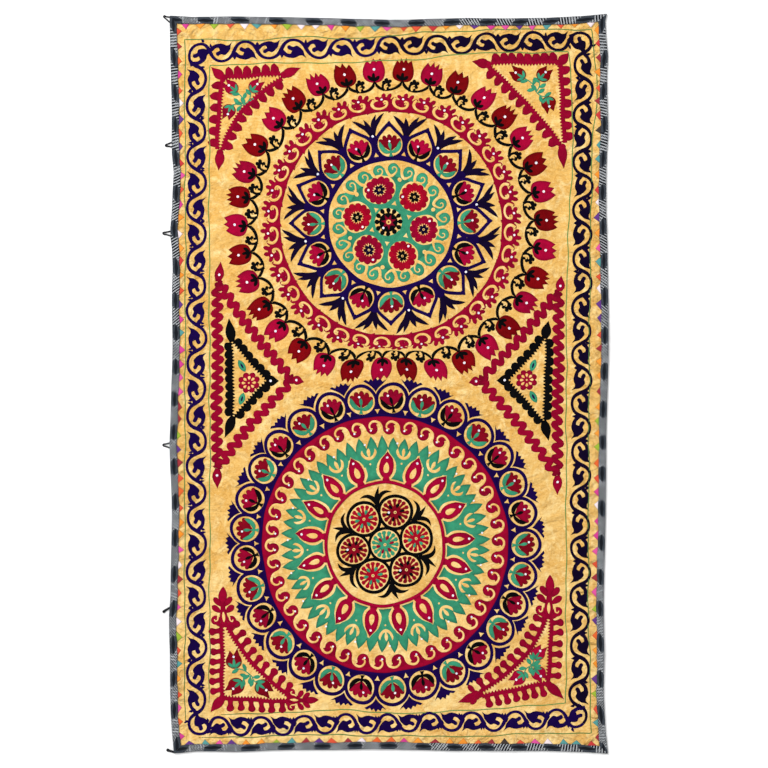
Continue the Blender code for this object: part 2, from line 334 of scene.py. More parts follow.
def cotton_dye(made):
    """The yellow of the cloth at each place: golden at the head, straw at the foot, clouded, worn and
    slubbed.

    Fine lines where a slow noise crosses its middle value stand for the crinkles, and are browner: painted
    shade in the crinkles.
    """
    place = made.coordinates()
    _, along = made.parts(place)
    slubs = made.noise(place, 40, 3, (1, 20, 1)) + made.noise(place, 44, 3, (18, 1, 1))
    clouds = made.noise(place, 7, 5, distortion=1.5)
    blotches = made.noise(place, 22, 4, (1.2, 1, 1), 1.2)
    freckles = made.noise(place, 130, 3, (1, 1.4, 1), 0.5)
    crinkle = made.noise(place, 13, 3, (1, 1.8, 1), 1.8)
    line = 1 - ((crinkle - 0.5).size() * 26).between(0.0, 1.0)
    foot = (0 - along).between(-0.15, 1.0)
    head = along.between(0.35, 1.1)
    golden = made.mix(head, dye(230, 184, 104), dye(236, 190, 106))
    golden = made.mix(foot * 0.85, golden, dye(244, 206, 132))
    deep = made.mix(clouds.between(0.38, 0.68) * 0.7, golden, dye(222, 166, 78))
    worn = made.mix(blotches.between(0.46, 0.70) * 0.7, deep, dye(252, 224, 158))
    browned = made.mix((1 - freckles).between(0.50, 0.74) * 0.45, worn, dye(206, 152, 64))
    bright = made.mix(freckles.between(0.52, 0.76) * 0.35, browned, dye(255, 234, 170))
    # Painted shade: the crinkle lines turn brown, more so where the clouds are high.
    lined = made.mix(line * clouds.between(0.35, 0.6) * 0.5, bright, dye(196, 138, 56))
    return made.mix((slubs * 0.5).between(0.45, 0.62) * 0.22, lined, dye(214, 164, 78)), slubs


def ground_finish():
    """Yellow cotton satin, puckered by the stitching and crinkled all over."""
    made = Finish("ground_cotton", 0.75, 0.04, 0.1)
    dyed, slubs = cotton_dye(made)
    made.colour(dyed)
    place = made.coordinates()
    weave = made.noise(place, 520, 2, (1, 3, 1)) + made.noise(place, 520, 2, (3, 1, 1))
    pucker = made.noise(place, 30, 4, (1.2, 1, 1), 0.8)
    fold = made.noise(place, 9, 3, (1, 1.5, 1), 1.6)
    across, along = made.parts(place)
    at_edge = (across.size().between(0.53, 0.64)).most(along.size().between(1.0, 1.10))
    crinkled = (fold * 9 + pucker * 5) * (at_edge * 0.7 + 0.5)
    return made.relief(crinkled + slubs * 0.4 + weave * 0.12, 0.0024)


def yellow_finish():
    """Yellow thread, which takes the colours of the cloth round it, with a painted highlight along the rim of
    each shape.
    """
    made = Finish("yellow_stitching", 0.65, 0.05, 0.12)
    dyed, slubs = cotton_dye(made)
    # Painted highlight: the thread lightens towards pale straw where its padding falls to its rim.
    rim = made.attribute("rim").between(0.3, 1.0) * 0.3
    made.colour(made.mix(rim, dyed, dye(255, 226, 160)))
    return made.relief(slubs + made.noise(made.coordinates(), 420, 2), 0.0005)


def binding_finish():
    """Slate tape: a net of pale diagonal threads on black that gives way, at each repeat, to a plain dark
    lozenge.
    """
    made = Finish("binding_tape", 0.8, 0.02, 0.06)
    along, across = made.parts(made.coordinates("UV"))
    wander = made.noise(made.coordinates(), 2.2, 1) * 0.09
    repeat = ((along + wander) * (1 / 0.108)).share()
    middle = (across - 0.0115).size()
    from_centre = (repeat - 0.5).size() * 0.108
    plain = (from_centre + middle * 0.9).between(0.0285, 0.0265)
    lozenge = (from_centre * 0.30 + middle * 1.9).between(0.0125, 0.0095)
    net_u, net_v = along * (math.pi / 0.0090), across * (math.pi / 0.0090)
    rising = (net_u + net_v).sine().size().between(0.62, 0.30)
    falling = (net_u - net_v).sine().size().between(0.55, 0.25)
    fleck = made.noise(made.coordinates(), 420, 2)
    patch = made.noise(made.coordinates(), 60, 2)
    net = rising.most(falling * patch.between(0.45, 0.6)) * (1 - plain)
    rib = (along * (math.pi / 0.0011)).sine().size()
    black = made.mix(fleck, dye(8, 9, 13), dye(34, 36, 42))
    slate = made.mix(fleck, dye(36, 41, 48), dye(74, 80, 88))
    backed = made.mix(plain, black, slate)
    dark = made.mix(lozenge * plain * 0.9, backed, dye(16, 19, 25))
    lined = made.mix(net * (fleck * 0.9 + 0.35), dark, dye(206, 210, 214))
    selvedge = middle.between(0.0094, 0.0110) * 0.6
    made.colour(made.mix(selvedge, lined, dye(52, 56, 64)))
    return made.relief(rib * 0.5 + net * 0.8 + fleck * 0.4, 0.0004)


def points_finish():
    """Plain cotton scraps: each point has its own dye, kept with the mesh, and painted shade where it folds
    under.
    """
    made = Finish("points_cotton", 0.8, 0.1)
    weave = made.noise(made.coordinates(), 800, 2)
    stain = made.noise(made.coordinates(), 120, 2)
    dyed = made.node("ShaderNodeAttribute", {"attribute_name": "dye"}, {}, "Color")
    aged = made.mix(stain * 0.15, dyed, dye(110, 60, 40))
    # Painted shade: each point darkens to a deep red-brown where it folds under at its sides and tip.
    folded = made.mix(made.attribute("rim").between(0.3, 1.0) * 0.6, aged, dye(50, 14, 18))
    made.colour(made.mix(weave * 0.06, folded, dye(250, 235, 205)))
    return made.relief(weave + stain, 0.0005)


def loop_finish():
    """Black cotton tape: ribs across it, with painted light on their crests, greyed where it is worn."""
    made = Finish("loop_tape", 0.8, 0.1)
    along, _ = made.parts(made.coordinates("UV"))
    rib = (along * (math.pi / 0.0012)).sine().size()
    worn = made.noise(made.coordinates(), 260, 3)
    # The grey is partly wear, from the noise, and partly rib * 0.1, painted light on the crest of each rib.
    made.colour(made.mix(worn.between(0.4, 0.8) * 0.7 + rib * 0.1, dye(12, 12, 15), dye(70, 72, 78)))
    return made.relief(rib + worn, 0.0005)


def sequin_finish():
    """Pearly discs: white with a faint cool and rosy cloud."""
    made = Finish("sequin_pearl", 0.25, gloss=0.5, coat=0.5)
    tint = made.noise(made.coordinates(), 130, 1)
    made.colour(made.mix(tint.between(0.35, 0.65), dye(226, 230, 246), dye(255, 250, 250)))
    return made


THREADS = {
    "crimson": (dye(146, 3, 42), "crimson_thread"),
    "wine": (dye(126, 4, 26), "crimson_thread"),
    "red": (dye(160, 4, 34), "red_thread"),
    "scarlet": (dye(124, 3, 10), "red_thread"),
    "magenta": (dye(162, 3, 50), "magenta_thread"),
    "violet": (dye(22, 2, 66), "violet_thread"),
    "aubergine": (dye(15, 3, 36), "violet_thread"),
    "black": (dye(6, 6, 8), "black_thread"),
    "teal": (dye(58, 148, 112), "teal_thread"),
    "yellow": (dye(246, 212, 132), "yellow_thread"),
    "green": (dye(104, 140, 76), "green_thread"),
}

# ---------------------------------------------------------------- stitched surfaces

LAYER = 0.45
PAD_HEIGHT = 0.75
SUNK = 0.06


def polar(radius, angle):
    """Points at these distances and angles from the origin."""
    return np.stack(np.broadcast_arrays(radius * np.cos(angle), radius * np.sin(angle)), axis=-1)


def spline(points, steps):
    """A smooth curve through the points: Catmull-Rom cubics, steps points to each stretch."""
    points = np.asarray(points, float)
    ends = np.concatenate([[2 * points[0] - points[1]], points, [2 * points[-1] - points[-2]]])
    t = np.linspace(0, 1, steps, endpoint=False)[None, :, None]
    before, start, end, after = (ends[k : len(ends) - 3 + k, None] for k in range(4))
    curve = 0.5 * (
        2 * start + (end - before) * t
        + (2 * before - 5 * start + 4 * end - after) * t**2
        + (3 * start - before - 3 * end + after) * t**3
    )
    return np.concatenate([curve.reshape(-1, points.shape[1]), points[-1:]])


def raised(flat, rise, level):
    """Adds to flat points their height, LAYER a layer below and their own rise, and their rim, 1 - rise."""
    rise = np.broadcast_to(rise, flat.shape[:-1])
    height = level * LAYER + PAD_HEIGHT * rise
    return np.concatenate([flat, height[..., None], (1 - rise)[..., None]], axis=-1)


def band(left, right, level=0, lanes=5, open_ends=False):
    """Stitching between two edges: left + (right - left) s, raised by 1 - |2s - 1|^3, and less at both
    ends.
    """
    s = (1 - np.cos(np.linspace(0, math.pi, lanes))) / 2
    flat = left[:, None] + (right - left)[:, None] * s[:, None]
    t = np.linspace(-1, 1, len(left))
    ends = np.ones_like(t) if open_ends else 1 - np.abs(t) ** 8
    return raised(flat, (1 - np.abs(2 * s - 1) ** 3) * ends[:, None], level)


def ribbon(path, half_width, level=0, closed=False, lanes=5, open_ends=False):
    """A band whose edges are the path plus and minus half_width times its normal."""
    if closed:
        ahead = np.roll(path[:-1], -1, axis=0) - np.roll(path[:-1], 1, axis=0)
        ahead = np.concatenate([ahead, ahead[:1]])
    else:
        ahead = np.gradient(path, axis=0)
    ahead /= np.linalg.norm(ahead, axis=1)[:, None] + 1e-9
    aside = np.stack([-ahead[:, 1], ahead[:, 0]], axis=1) * np.broadcast_to(half_width, len(path))[:, None]
    return band(path + aside, path - aside, level, lanes, open_ends or closed)


def stroke(points, level=0, steps=3):
    """A band along the smooth curve through triples of x, y and half width."""
    curve = spline(points, steps)
    return ribbon(curve[:, :2], np.clip(curve[:, 2], 0.1, None), level, open_ends=True)


def filled(outline, level=0, rings=3, centre=(0, 0)):
    """A closed outline filled in: centre + (outline - centre) s, raised by 1 - s^4."""
    s = np.sin(np.linspace(0, math.pi / 2, rings + 1))
    centre = np.array(centre, float)
    return raised(centre + (outline - centre)[:, None] * s[:, None], 1 - s**4, level)


def disc(radius, level=0, sides=24, rings=3, centre=(0, 0)):
    """A round fill."""
    return filled(np.array(centre) + polar(radius, np.linspace(0, TURN, sides + 1)), level, rings, centre)


def ring(radius, half_width, level=0, sides=48, squash=1.0):
    """A round line: the band along a circle."""
    path = polar(radius, np.linspace(0, TURN, sides + 1)) * (1, squash)
    return ribbon(path, half_width, level, closed=True)


def lobed(radius, count, depth, per_lobe=6, turn=0.0, roundness=0.7):
    """Outline with round lobes: radius (1 - depth + depth |sin(count a / 2)|^roundness)."""
    angle = np.linspace(0, TURN, count * per_lobe + 1)
    reach = np.abs(np.sin(count * angle / 2)) ** roundness
    return polar(radius * (1 - depth + depth * reach), angle + turn)


def leaf(length, width, bend=0.0, fat=0.45, steps=8, start=0.0, level=0, lanes=5, blunt=0.8):
    """A leaf along +x: half width = width / 2 sin(pi t^p)^blunt, widest at share fat, its spine bent by
    t^2.
    """
    t = np.linspace(0, 1, steps + 1)
    power = math.log(0.5) / math.log(fat)
    half_width = width / 2 * np.clip(np.sin(math.pi * t**power), 0, 1) ** blunt
    spine = np.stack([start + length * t, bend * t**2], axis=1)
    return ribbon(spine, half_width, level, lanes=lanes)


def moved(grid, at, turn=0.0, size=1.0, mirrored=False):
    """Copies of a grid, each mirrored across its own x axis if asked, then sized, turned and put in place."""
    at = np.atleast_2d(np.asarray(at, float))
    shape = (len(at), 1, 1, 1)
    turn = np.broadcast_to(turn, len(at)).reshape(shape)
    size = np.broadcast_to(size, len(at)).reshape(shape)
    side = np.where(np.broadcast_to(mirrored, len(at)), -1, 1).reshape(shape)
    grid = grid.reshape((1, -1) + grid.shape[-3:])
    x, y = grid[..., 0] * size, grid[..., 1] * size * side
    across = x * np.cos(turn) - y * np.sin(turn) + at[:, 0].reshape(shape)
    along = x * np.sin(turn) + y * np.cos(turn) + at[:, 1].reshape(shape)
    kept = np.broadcast_to(grid[..., 2:], across.shape + (2,))
    placed = np.concatenate([across[..., None], along[..., None], kept], axis=-1)
    return placed.reshape((-1,) + placed.shape[-3:])


def around(count, radius, start=0.0, loose=1.0):
    """Places round a circle, each a millimetre or so out of true, and the turn that points each outwards."""
    turn = start + np.arange(count) * TURN / count + loose * random.uniform(-1.2, 1.2, count) / radius
    places = polar(radius + loose * random.uniform(-1.2, 1.2, count), turn)
    return places, turn + loose * random.uniform(-0.04, 0.04, count)


def spaced(count, start, slack):
    """Turns of the motifs of a ring: equal steps of a full turn, each up to slack radians out of true."""
    return start + np.arange(count) * TURN / count + random.uniform(-slack, slack, count)


def halfway(turns, share=0.5):
    """The turns at this share of the way from each motif of a ring to the next."""
    return turns + (np.roll(turns, -1) - turns) % TURN * share


def along_ring(turns, step):
    """The turn at a place counted in motifs round a ring: it changes evenly from one motif's turn to the
    next's.
    """
    return np.interp(step % len(turns), np.arange(len(turns) + 1), [*turns, turns[0] + TURN])


def out_of_round(narrow):
    """How far rings drawn without a compass are from round, as a share of the radius.

    The share is -narrow cos^2 a, which makes them narrower than tall, plus three slow waves sin(k a +
    phase) whose
    phases are drawn at random.
    """
    phases = random.uniform(0, TURN, 3)

    def reach(angle, radius):
        waves = sum(WAVINESS * np.sin(k * angle + phase) for k, phase in zip((2, 3, 4), phases))
        return waves - narrow * np.cos(angle) ** 2

    return reach


# Size of each slow wave of a ring, as a share of its radius.
WAVINESS = 0.0025


class Motif:
    """Stitched shapes about a shared origin: lists of grids, by thread."""

    def __init__(self):
        self.grids = defaultdict(list)

    def sew(self, thread, grid):
        self.grids[thread].append(grid.reshape((-1,) + grid.shape[-3:]))
        return self

    def add(self, other, at=(0, 0), turn=0.0, size=1.0, mirrored=False, lift=0):
        """Sews copies of another motif in their places, lifted by this many layers."""
        for thread, grids in other.grids.items():
            for grid in grids:
                self.sew(thread, moved(grid + np.array([0, 0, lift * LAYER, 0]), at, turn, size, mirrored))
        return self

    def reshaped(self, reach):
        """Pushes every point out from the middle by a share of its distance, reach(angle, distance)."""
        for grids in self.grids.values():
            for grid in grids:
                x, y = grid[..., 0], grid[..., 1]
                share = 1 + reach(np.arctan2(y, x), np.hypot(x, y))
                grid[..., 0], grid[..., 1] = x * share, y * share
        return self

    def sequin(self, x=0.0, y=0.0, level=3, radius=3.7):
        """A small cupped disc with a hole: radius s, height a shallow parabola."""
        s = np.array([0.22, 0.6, 1.0])
        angle = np.linspace(0, TURN, 11)
        flat = np.array([x, y]) + polar(radius * s[None, :], angle[:, None])
        height = level * LAYER + 0.4 + 0.5 * s**2
        heights = np.broadcast_to(height, flat.shape[:2])[..., None]
        grid = np.concatenate([flat, heights, flat[..., :1] * 0], axis=-1)
        return self.sew("sequin", grid)


def petals(count, radius, length, width, level=0, start=0.0, fat=0.62, steps=6):
    """Leaves pointing outwards round a circle."""
    places, turns = around(count, radius, start, 0.3)
    return moved(leaf(length, width, fat=fat, steps=steps, level=level, blunt=0.7), places, turns)


# ---------------------------------------------------------------- the mesh of a piece


def hand_drawn(points):
    """Slow sine waves shift the design by a millimetre or two, so that no ring is quite round."""
    x, y = points[..., 0], points[..., 1]
    shifted = points.copy()
    shifted[..., 0] += 1.5 * np.sin(y / 47 + 1.3 * np.sin(x / 83)) + 1.1 * np.sin(y / 19 + x / 31)
    shifted[..., 1] += 1.5 * np.sin(x / 53 + 1.7 * np.sin(y / 71)) + 1.1 * np.sin(x / 17 - y / 37)
    return shifted


def lay(points):
    """Lays design points, in millimetres, onto the face of the cloth, in metres."""
    points = hand_drawn(points)
    world = points.copy()
    world[..., :3] *= MM
    world[..., :2] += MIDDLE
    world[..., 2] += on_face(world[..., 0], world[..., 1]) - SUNK * MM
    return world


def lengths(points, axis):
    """Distance along a grid's middle line, in its own units."""
    middle = np.take(points, points.shape[3 - axis] // 2, axis=3 - axis)
    step = np.linalg.norm(np.diff(middle, axis=1), axis=-1)
    return np.concatenate([np.zeros((len(step), 1)), np.cumsum(step, axis=1)], axis=1)


def mesh_object(name, grids, finish, face_up=True, dyes=None):
    """One mesh from grids of world points: two triangles to a cell, doubles merged and repeats dropped, UV in
    metres along and across.
    """
    points, triangles, uv, tones, paints = [], [], [], [], []
    first = 0
    rims = []
    for number, grid in enumerate(grids):
        copies, rows, columns = grid.shape[:3]
        rims.append((grid[..., 3] if grid.shape[-1] > 3 else grid[..., 0] * 0).ravel())
        grid = grid[..., :3]
        index = first + np.arange(copies * rows * columns).reshape(copies, rows, columns)
        a, b, c, d = index[:, :-1, :-1], index[:, 1:, :-1], index[:, 1:, 1:], index[:, :-1, 1:]
        triangles += [np.stack([a, b, c], -1).reshape(-1, 3), np.stack([a, c, d], -1).reshape(-1, 3)]
        u, v = lengths(grid, 1), lengths(grid, 2)
        uv.append(np.stack(np.broadcast_arrays(u[:, :, None], v[:, None, :]), -1).reshape(-1, 2))
        tones.append(np.broadcast_to(random.random(copies)[:, None], (copies, rows * columns)).ravel())
        if dyes is not None:
            paints.append(np.broadcast_to(dyes[number][:, None], (copies, rows * columns, 4)).reshape(-1, 4))
        points.append(grid.reshape(-1, 3))
        first += copies * rows * columns
    points, triangles = np.concatenate(points), np.concatenate(triangles)
    uv, tones = np.concatenate(uv), np.concatenate(tones)

    if face_up:
        p, q, r = (points[triangles[:, k], :2] for k in range(3))
        area = (q[:, 0] - p[:, 0]) * (r[:, 1] - p[:, 1]) - (r[:, 0] - p[:, 0]) * (q[:, 1] - p[:, 1])
        triangles[area < 0] = triangles[area < 0][:, ::-1]
    cells = np.round(points / 2e-6).astype(np.int64)
    _, kept, merged = np.unique(cells, axis=0, return_index=True, return_inverse=True)
    welded = merged.reshape(-1)[triangles]
    whole = (
        (welded[:, 0] != welded[:, 1]) & (welded[:, 1] != welded[:, 2]) & (welded[:, 0] != welded[:, 2])
    )
    # validate() below drops repeated triangles too, but in an order that changes from run to run.
    once = np.unique(np.sort(welded, axis=1), axis=0, return_index=True)[1]
    whole &= np.isin(np.arange(len(welded)), once)
    corners, welded = triangles[whole].ravel(), welded[whole]

    mesh = bpy.data.meshes.new(name)
    mesh.vertices.add(len(kept))
    mesh.vertices.foreach_set("co", points[kept].astype(np.float32).ravel())
    mesh.loops.add(len(corners))
    mesh.loops.foreach_set("vertex_index", welded.astype(np.int32).ravel())
    mesh.polygons.add(len(welded))
    mesh.polygons.foreach_set("loop_start", np.arange(0, len(corners), 3, dtype=np.int32))
    mesh.polygons.foreach_set("use_smooth", np.ones(len(welded), bool))
    mesh.update(calc_edges=True)
    mesh.uv_layers.new(name="UVMap").data.foreach_set("uv", uv[corners].astype(np.float32).ravel())
    mesh.attributes.new("tone", "FLOAT", "POINT").data.foreach_set("value", tones[kept].astype(np.float32))
    rims = np.concatenate(rims)[kept].astype(np.float32)
    mesh.attributes.new("rim", "FLOAT", "POINT").data.foreach_set("value", rims)
    if paints:
        paint = np.concatenate(paints)[kept].astype(np.float32)
        mesh.attributes.new("dye", "FLOAT_COLOR", "POINT").data.foreach_set("color", paint.ravel())
    mesh.validate()
    made = bpy.data.objects.new(name, mesh)
    bpy.context.scene.collection.objects.link(made)
    made.data.materials.append(finish.material)
    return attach(made, "root")


FINISHES = {name: thread_finish(f"{name}_stitching", colour) for name, (colour, _) in THREADS.items()}
FINISHES["yellow"] = yellow_finish()
FINISHES["sequin"] = sequin_finish()


def embroider(region, motif):
    """Makes one piece of each thread of a part of the design."""
    for thread, grids in motif.grids.items():
        piece = mesh_object(f"{region}_{thread}", [lay(grid) for grid in grids], FINISHES[thread])
        THREADS[thread][1] if thread in THREADS else "sequins"


# ---------------------------------------------------------------- small motifs, x pointing outwards


def star(points, tip, valley, level=0, turn=0.0):
    """A star: an outline that goes from tip to valley and back, filled."""
    angle = np.linspace(0, TURN, 2 * points + 1) + turn
    return filled(polar(np.where(np.arange(2 * points + 1) % 2, valley, tip), angle), level, 2)


def outline_of(points, steps=3):
    """A closed smooth outline through the points; a point given twice is a sharp corner."""
    return spline(np.array([*points, points[0]], float), steps)


def round_rosette(petal_thread, core_thread, radius=45):
    """Twelve round petals, a ring of pale rays and a six-lobed core, on a yellow disc."""
    made = Motif()
    made.sew("yellow", disc(radius * 1.11, 1, 40, 4))
    made.sew(petal_thread, disc(radius * 0.80, 2, 36, 4))
    places, turns = around(12, radius * 0.775, 0.1, 0.3)
    made.sew(petal_thread, moved(disc(radius * 0.232, 2, 14, 3), places, turns))
    made.sew("yellow", star(16, radius * 0.52, radius * 0.37, 3))
    places, turns = around(6, radius * 0.235, 0.4, 0.3)
    made.sew(core_thread, moved(disc(radius * 0.135, 4, 10, 2), places, turns))
    made.sew(core_thread, disc(radius * 0.25, 4, 16, 2))
    made.sew("yellow", disc(radius * 0.12, 5, 10, 1))
    made.sew(core_thread, disc(radius * 0.05, 6, 6, 1))
    return made


def wheel_rosette(petal_thread, core_thread, radius=44):
    """Sixteen club petals joined at a hub, with a small six-petal flower in the middle, on a yellow disc."""
    made = Motif()
    made.sew("yellow", disc(radius * 1.05, 1, 40, 4))
    club = stroke(((0.44, 0, 0.050), (0.60, 0, 0.046), (0.71, 0, 0.080), (0.80, 0, 0.142), (0.91, 0, 0.136),
                   (0.975, 0, 0.05)), 2, 2)
    _, turns = around(15, radius, 0.0, 0.4)
    made.sew(petal_thread, moved(club * (radius, radius, 1, 1), np.zeros((15, 2)), turns))
    made.sew(petal_thread, disc(radius * 0.53, 2, 28, 3))
    made.sew(core_thread, petals(6, radius * 0.28, radius * 0.40, radius * 0.24, 3, 0.2))
    made.sew("yellow", disc(radius * 0.11, 4, 8, 1))
    made.sew(core_thread, disc(radius * 0.05, 5, 6, 1))
    return made


def black_rosette():
    """Twelve black petals round a crimson star, on a yellow disc."""
    made = Motif()
    made.sew("yellow", disc(49, 1, 40, 4))
    made.sew("black", disc(31, 2, 30, 3))
    made.sew("black", petals(12, 24, 21, 15, 2, fat=0.62))
    made.sew("crimson", star(7, 25, 14, 3, 0.3))
    made.sew("yellow", disc(8.5, 4, 14, 2))
    made.sew("wine", disc(4.5, 5, 10, 1))
    return made.sequin(-16, -18, 6)


# Outlines of the tulips' mouths, from one side to the other: every point is a sharp corner.
THREE_TEETH = ((33, 21), (23, 10), (40, 1), (28, -8), (40, -21))
FOUR_TEETH = ((32, 23), (24, 14), (41, 11), (27, 1), (43, -6), (27, -13), (37, -24))
TULIP_SIDES = (
    (24, -29), (7, -34), (-12, -33.5), (-27, -26), (-34, -12), (-35.5, 3), (-32, 19), (-24, 29),
    (-8, 34), (9, 32),
    (23, 27),
)


def tulip(head_thread, mouth, heart="black"):
    """A round bud with a toothed mouth, a three-leaved heart at its foot and a sequin."""
    made = Motif()
    sharp = [point for point in mouth for _ in (0, 1)]
    made.sew(head_thread, filled(outline_of((*sharp, *TULIP_SIDES), 2), 0, 4))
    for turn, length in ((-0.82, 26), (-0.02, 27), (0.80, 26)):
        made.sew(heart, moved(leaf(length, 12, fat=0.6, steps=7, level=1, blunt=0.7), (-31, 1), turn))
    made.sew(heart, disc(7.5, 1, 14, 2, (-21, 1)))
    return made.sequin(5, -1, 2, 3.9)


def chamber_flower(fan_thread, leaf_thread):
    """A fan of five lobes between two leaves that curve up its sides, with a small bud on it and a forked
    foot.
    """
    made = Motif()
    angle = np.linspace(-0.95, 0.95, 61)
    scallop = np.abs(np.sin(angle / 0.95 * 2.5 * math.pi + math.pi / 2)) ** 0.55
    lobes = (47 + 12 * scallop) * (1 - 0.12 * angle**2)
    fan = np.concatenate([[(0, 0)], polar(lobes, angle), [(0, 0)]])
    made.sew(fan_thread, filled(fan + (-25, 0), 0, 4, (8, 0)))
    for side in (1, -1):
        blade = ((-27, 0, 2.6), (-25, 13, 6.6), (-16, 24.5, 7.6), (-3, 32, 6.2), (9, 35, 0.4))
        made.sew(leaf_thread, stroke([(x, side * y, w) for x, y, w in blade], 1, 3))
    made.sew(leaf_thread, moved(leaf(30, 13, fat=0.6, level=1), (-20, 0), 0.1))
    made.sew(leaf_thread, stroke(((-42, 0, 7.5), (-36, 0, 4.4), (-27, 0, 3.4), (-18, 0, 3.0)), 1, 2))
    return made


def webbing(thread, turns, inner, centre_radius, wall_radius, level=0):
    """Fills in between a ring and the round walls that stand on it at these turns.

    At each angle the band runs from the ring out to the near side of the nearest wall, D cos b -
    sqrt(R^2 - D^2 sin^2 b), where b is the angle from the wall's centre.
    """
    angle = np.linspace(0, TURN, 361)
    from_walls = (angle[:, None] - turns + math.pi) % TURN - math.pi
    from_wall = np.abs(from_walls).min(axis=1)
    reach = centre_radius * np.cos(from_wall) - np.sqrt(
        np.clip(wall_radius**2 - (centre_radius * np.sin(from_wall)) ** 2, 0, None)
    )
    return Motif().sew(thread, band(polar(inner, angle), polar(reach, angle), level, 5, open_ends=True))


# ---------------------------------------------------------------- the upper medallion


def teal_wave():
    """A wave on the rim of the teal web: a neck, a round head, and a pale line that winds in to its
    middle.
    """
    wave = Motif()
    neck = ((-28, -5), (-28, -36), (-13, -35), (-4, -24), (5, -18), (2, 2))
    wave.sew("teal", filled(outline_of(neck), 0, 2, (-12, -18)))
    wave.sew("teal", disc(18.2, 0, 26, 3))
    winding = (
        (7, 26, 3), (-2, 23.5, 3.8), (-15, 18, 4.8), (-24, 9, 4.4), (-19, -1, 3.0), (-8, -10.3, 2.3),
        (2, -9.2, 2.1),
        (5, -2.2, 2.0), (1.5, 3, 1.9), (-4, 1.5, 1.5),
    )
    return wave.sew("yellow", stroke(winding, 1, 3))


def flowering_wave():
    """One unit of the crimson ring: a wave whose head is a flower, set off by a pale line that winds under
    it.
    """
    unit = Motif()
    body = ((-40, -32, 15), (-27, -28, 9.5), (-13, -26, 7.5), (-2, -19, 9), (0, -8, 9))
    unit.sew("crimson", stroke(body, 0, 3))
    unit.sew("crimson", disc(11.5, 0, 18, 2, (-1, 0)))
    blades = (
        (-17, -25, 30, 15.5, -0.85), (-8, -17, 31, 14.5, -0.48), (-3, -5, 28, 14.5, -0.16),
        (-3, 1, 24, 14, 0.85),
        (-5, 3, 25, 15, 2.05),
    )
    for x, y, length, width, turn in blades:
        unit.sew("crimson", moved(leaf(length, width, fat=0.6, steps=7, blunt=0.6), (x, y), turn))
    unit.sew("crimson", disc(7, 0, 14, 2, (-20, 1)))
    unit.sew("crimson", disc(9, 0, 14, 2, (-10, 1)))
    unit.sew("crimson", disc(7, 0, 12, 2, (-17, 5)))
    unit.sew("crimson", disc(8, 0, 14, 2, (-5, -12)))
    winding = (
        (-11, -4.5, 2.4), (-7.5, -9.5, 3.0), (-12, -16.5, 3.2), (-24, -12.5, 3.5), (-29, 0, 3.6),
        (-28.5, 12, 3.7),
        (-24, 23, 4.0), (-12, 29.5, 4.6), (1, 23.5, 4.2),
    )
    unit.sew("yellow", stroke(winding, 1, 3))
    return unit.sequin(0, 0, 2, 3.6)


def garland_bud():
    """A black curl on the garland: a hooked stem and five lobes, with a pale line that winds in between
    them.
    """
    bud = Motif()
    bud.sew("black", stroke(((-24, 10, 4), (-17, 12.5, 3.8), (-5, 12.5, 4), (4, 8, 4.5)), 0, 3))
    lobes = ((2, -1, 9.5), (11.5, 1.5, 6.6), (6.5, -9.5, 6.4), (-7, -8, 5.6), (-15, -3, 4.2), (4, 9, 6.4))
    for x, y, radius in lobes:
        bud.sew("black", disc(radius, 0, 13, 2, (x, y)))
    return bud.sew("yellow", stroke(((-1.5, -1.5, 2.0), (-4, 4.5, 2.3), (-12, 6, 2.4), (-21, 3, 2.6)), 1, 3))


def crest_leaves():
    """Four near-black leaves from the gap between two chambers: two that follow the walls, two short ones
    inside.
    """
    made = Motif()
    made.sew("violet", stroke(((-38, 0, 3), (-24, 0, 7), (-9, 0, 12), (0, 0, 9), (8, 0, 6)), 0, 3))
    left = ((-2, 4, 5), (11, 8, 7), (23, 15, 7.2), (35, 28, 6.6), (45, 41, 4.6), (52, 53, 0.3))
    right = ((-2, -4, 5), (12, -8, 7), (26, -16, 7.2), (39, -29, 6.6), (51, -41, 4.4), (60, -52, 0.3))
    made.sew("aubergine", stroke(left, 1, 3))
    made.sew("aubergine", stroke(right, 1, 3))
    made.sew("aubergine", stroke(((6, 2, 6), (22, 5, 7), (34, 9, 6.6), (44, 12, 3.6), (52, 15, 0.3)), 1, 3))
    spike = ((6, -3, 6), (26, -9, 7.4), (40, -15, 6.6), (50, -21, 3.8), (60, -27, 0.3))
    return made.sew("aubergine", stroke(spike, 1, 3))


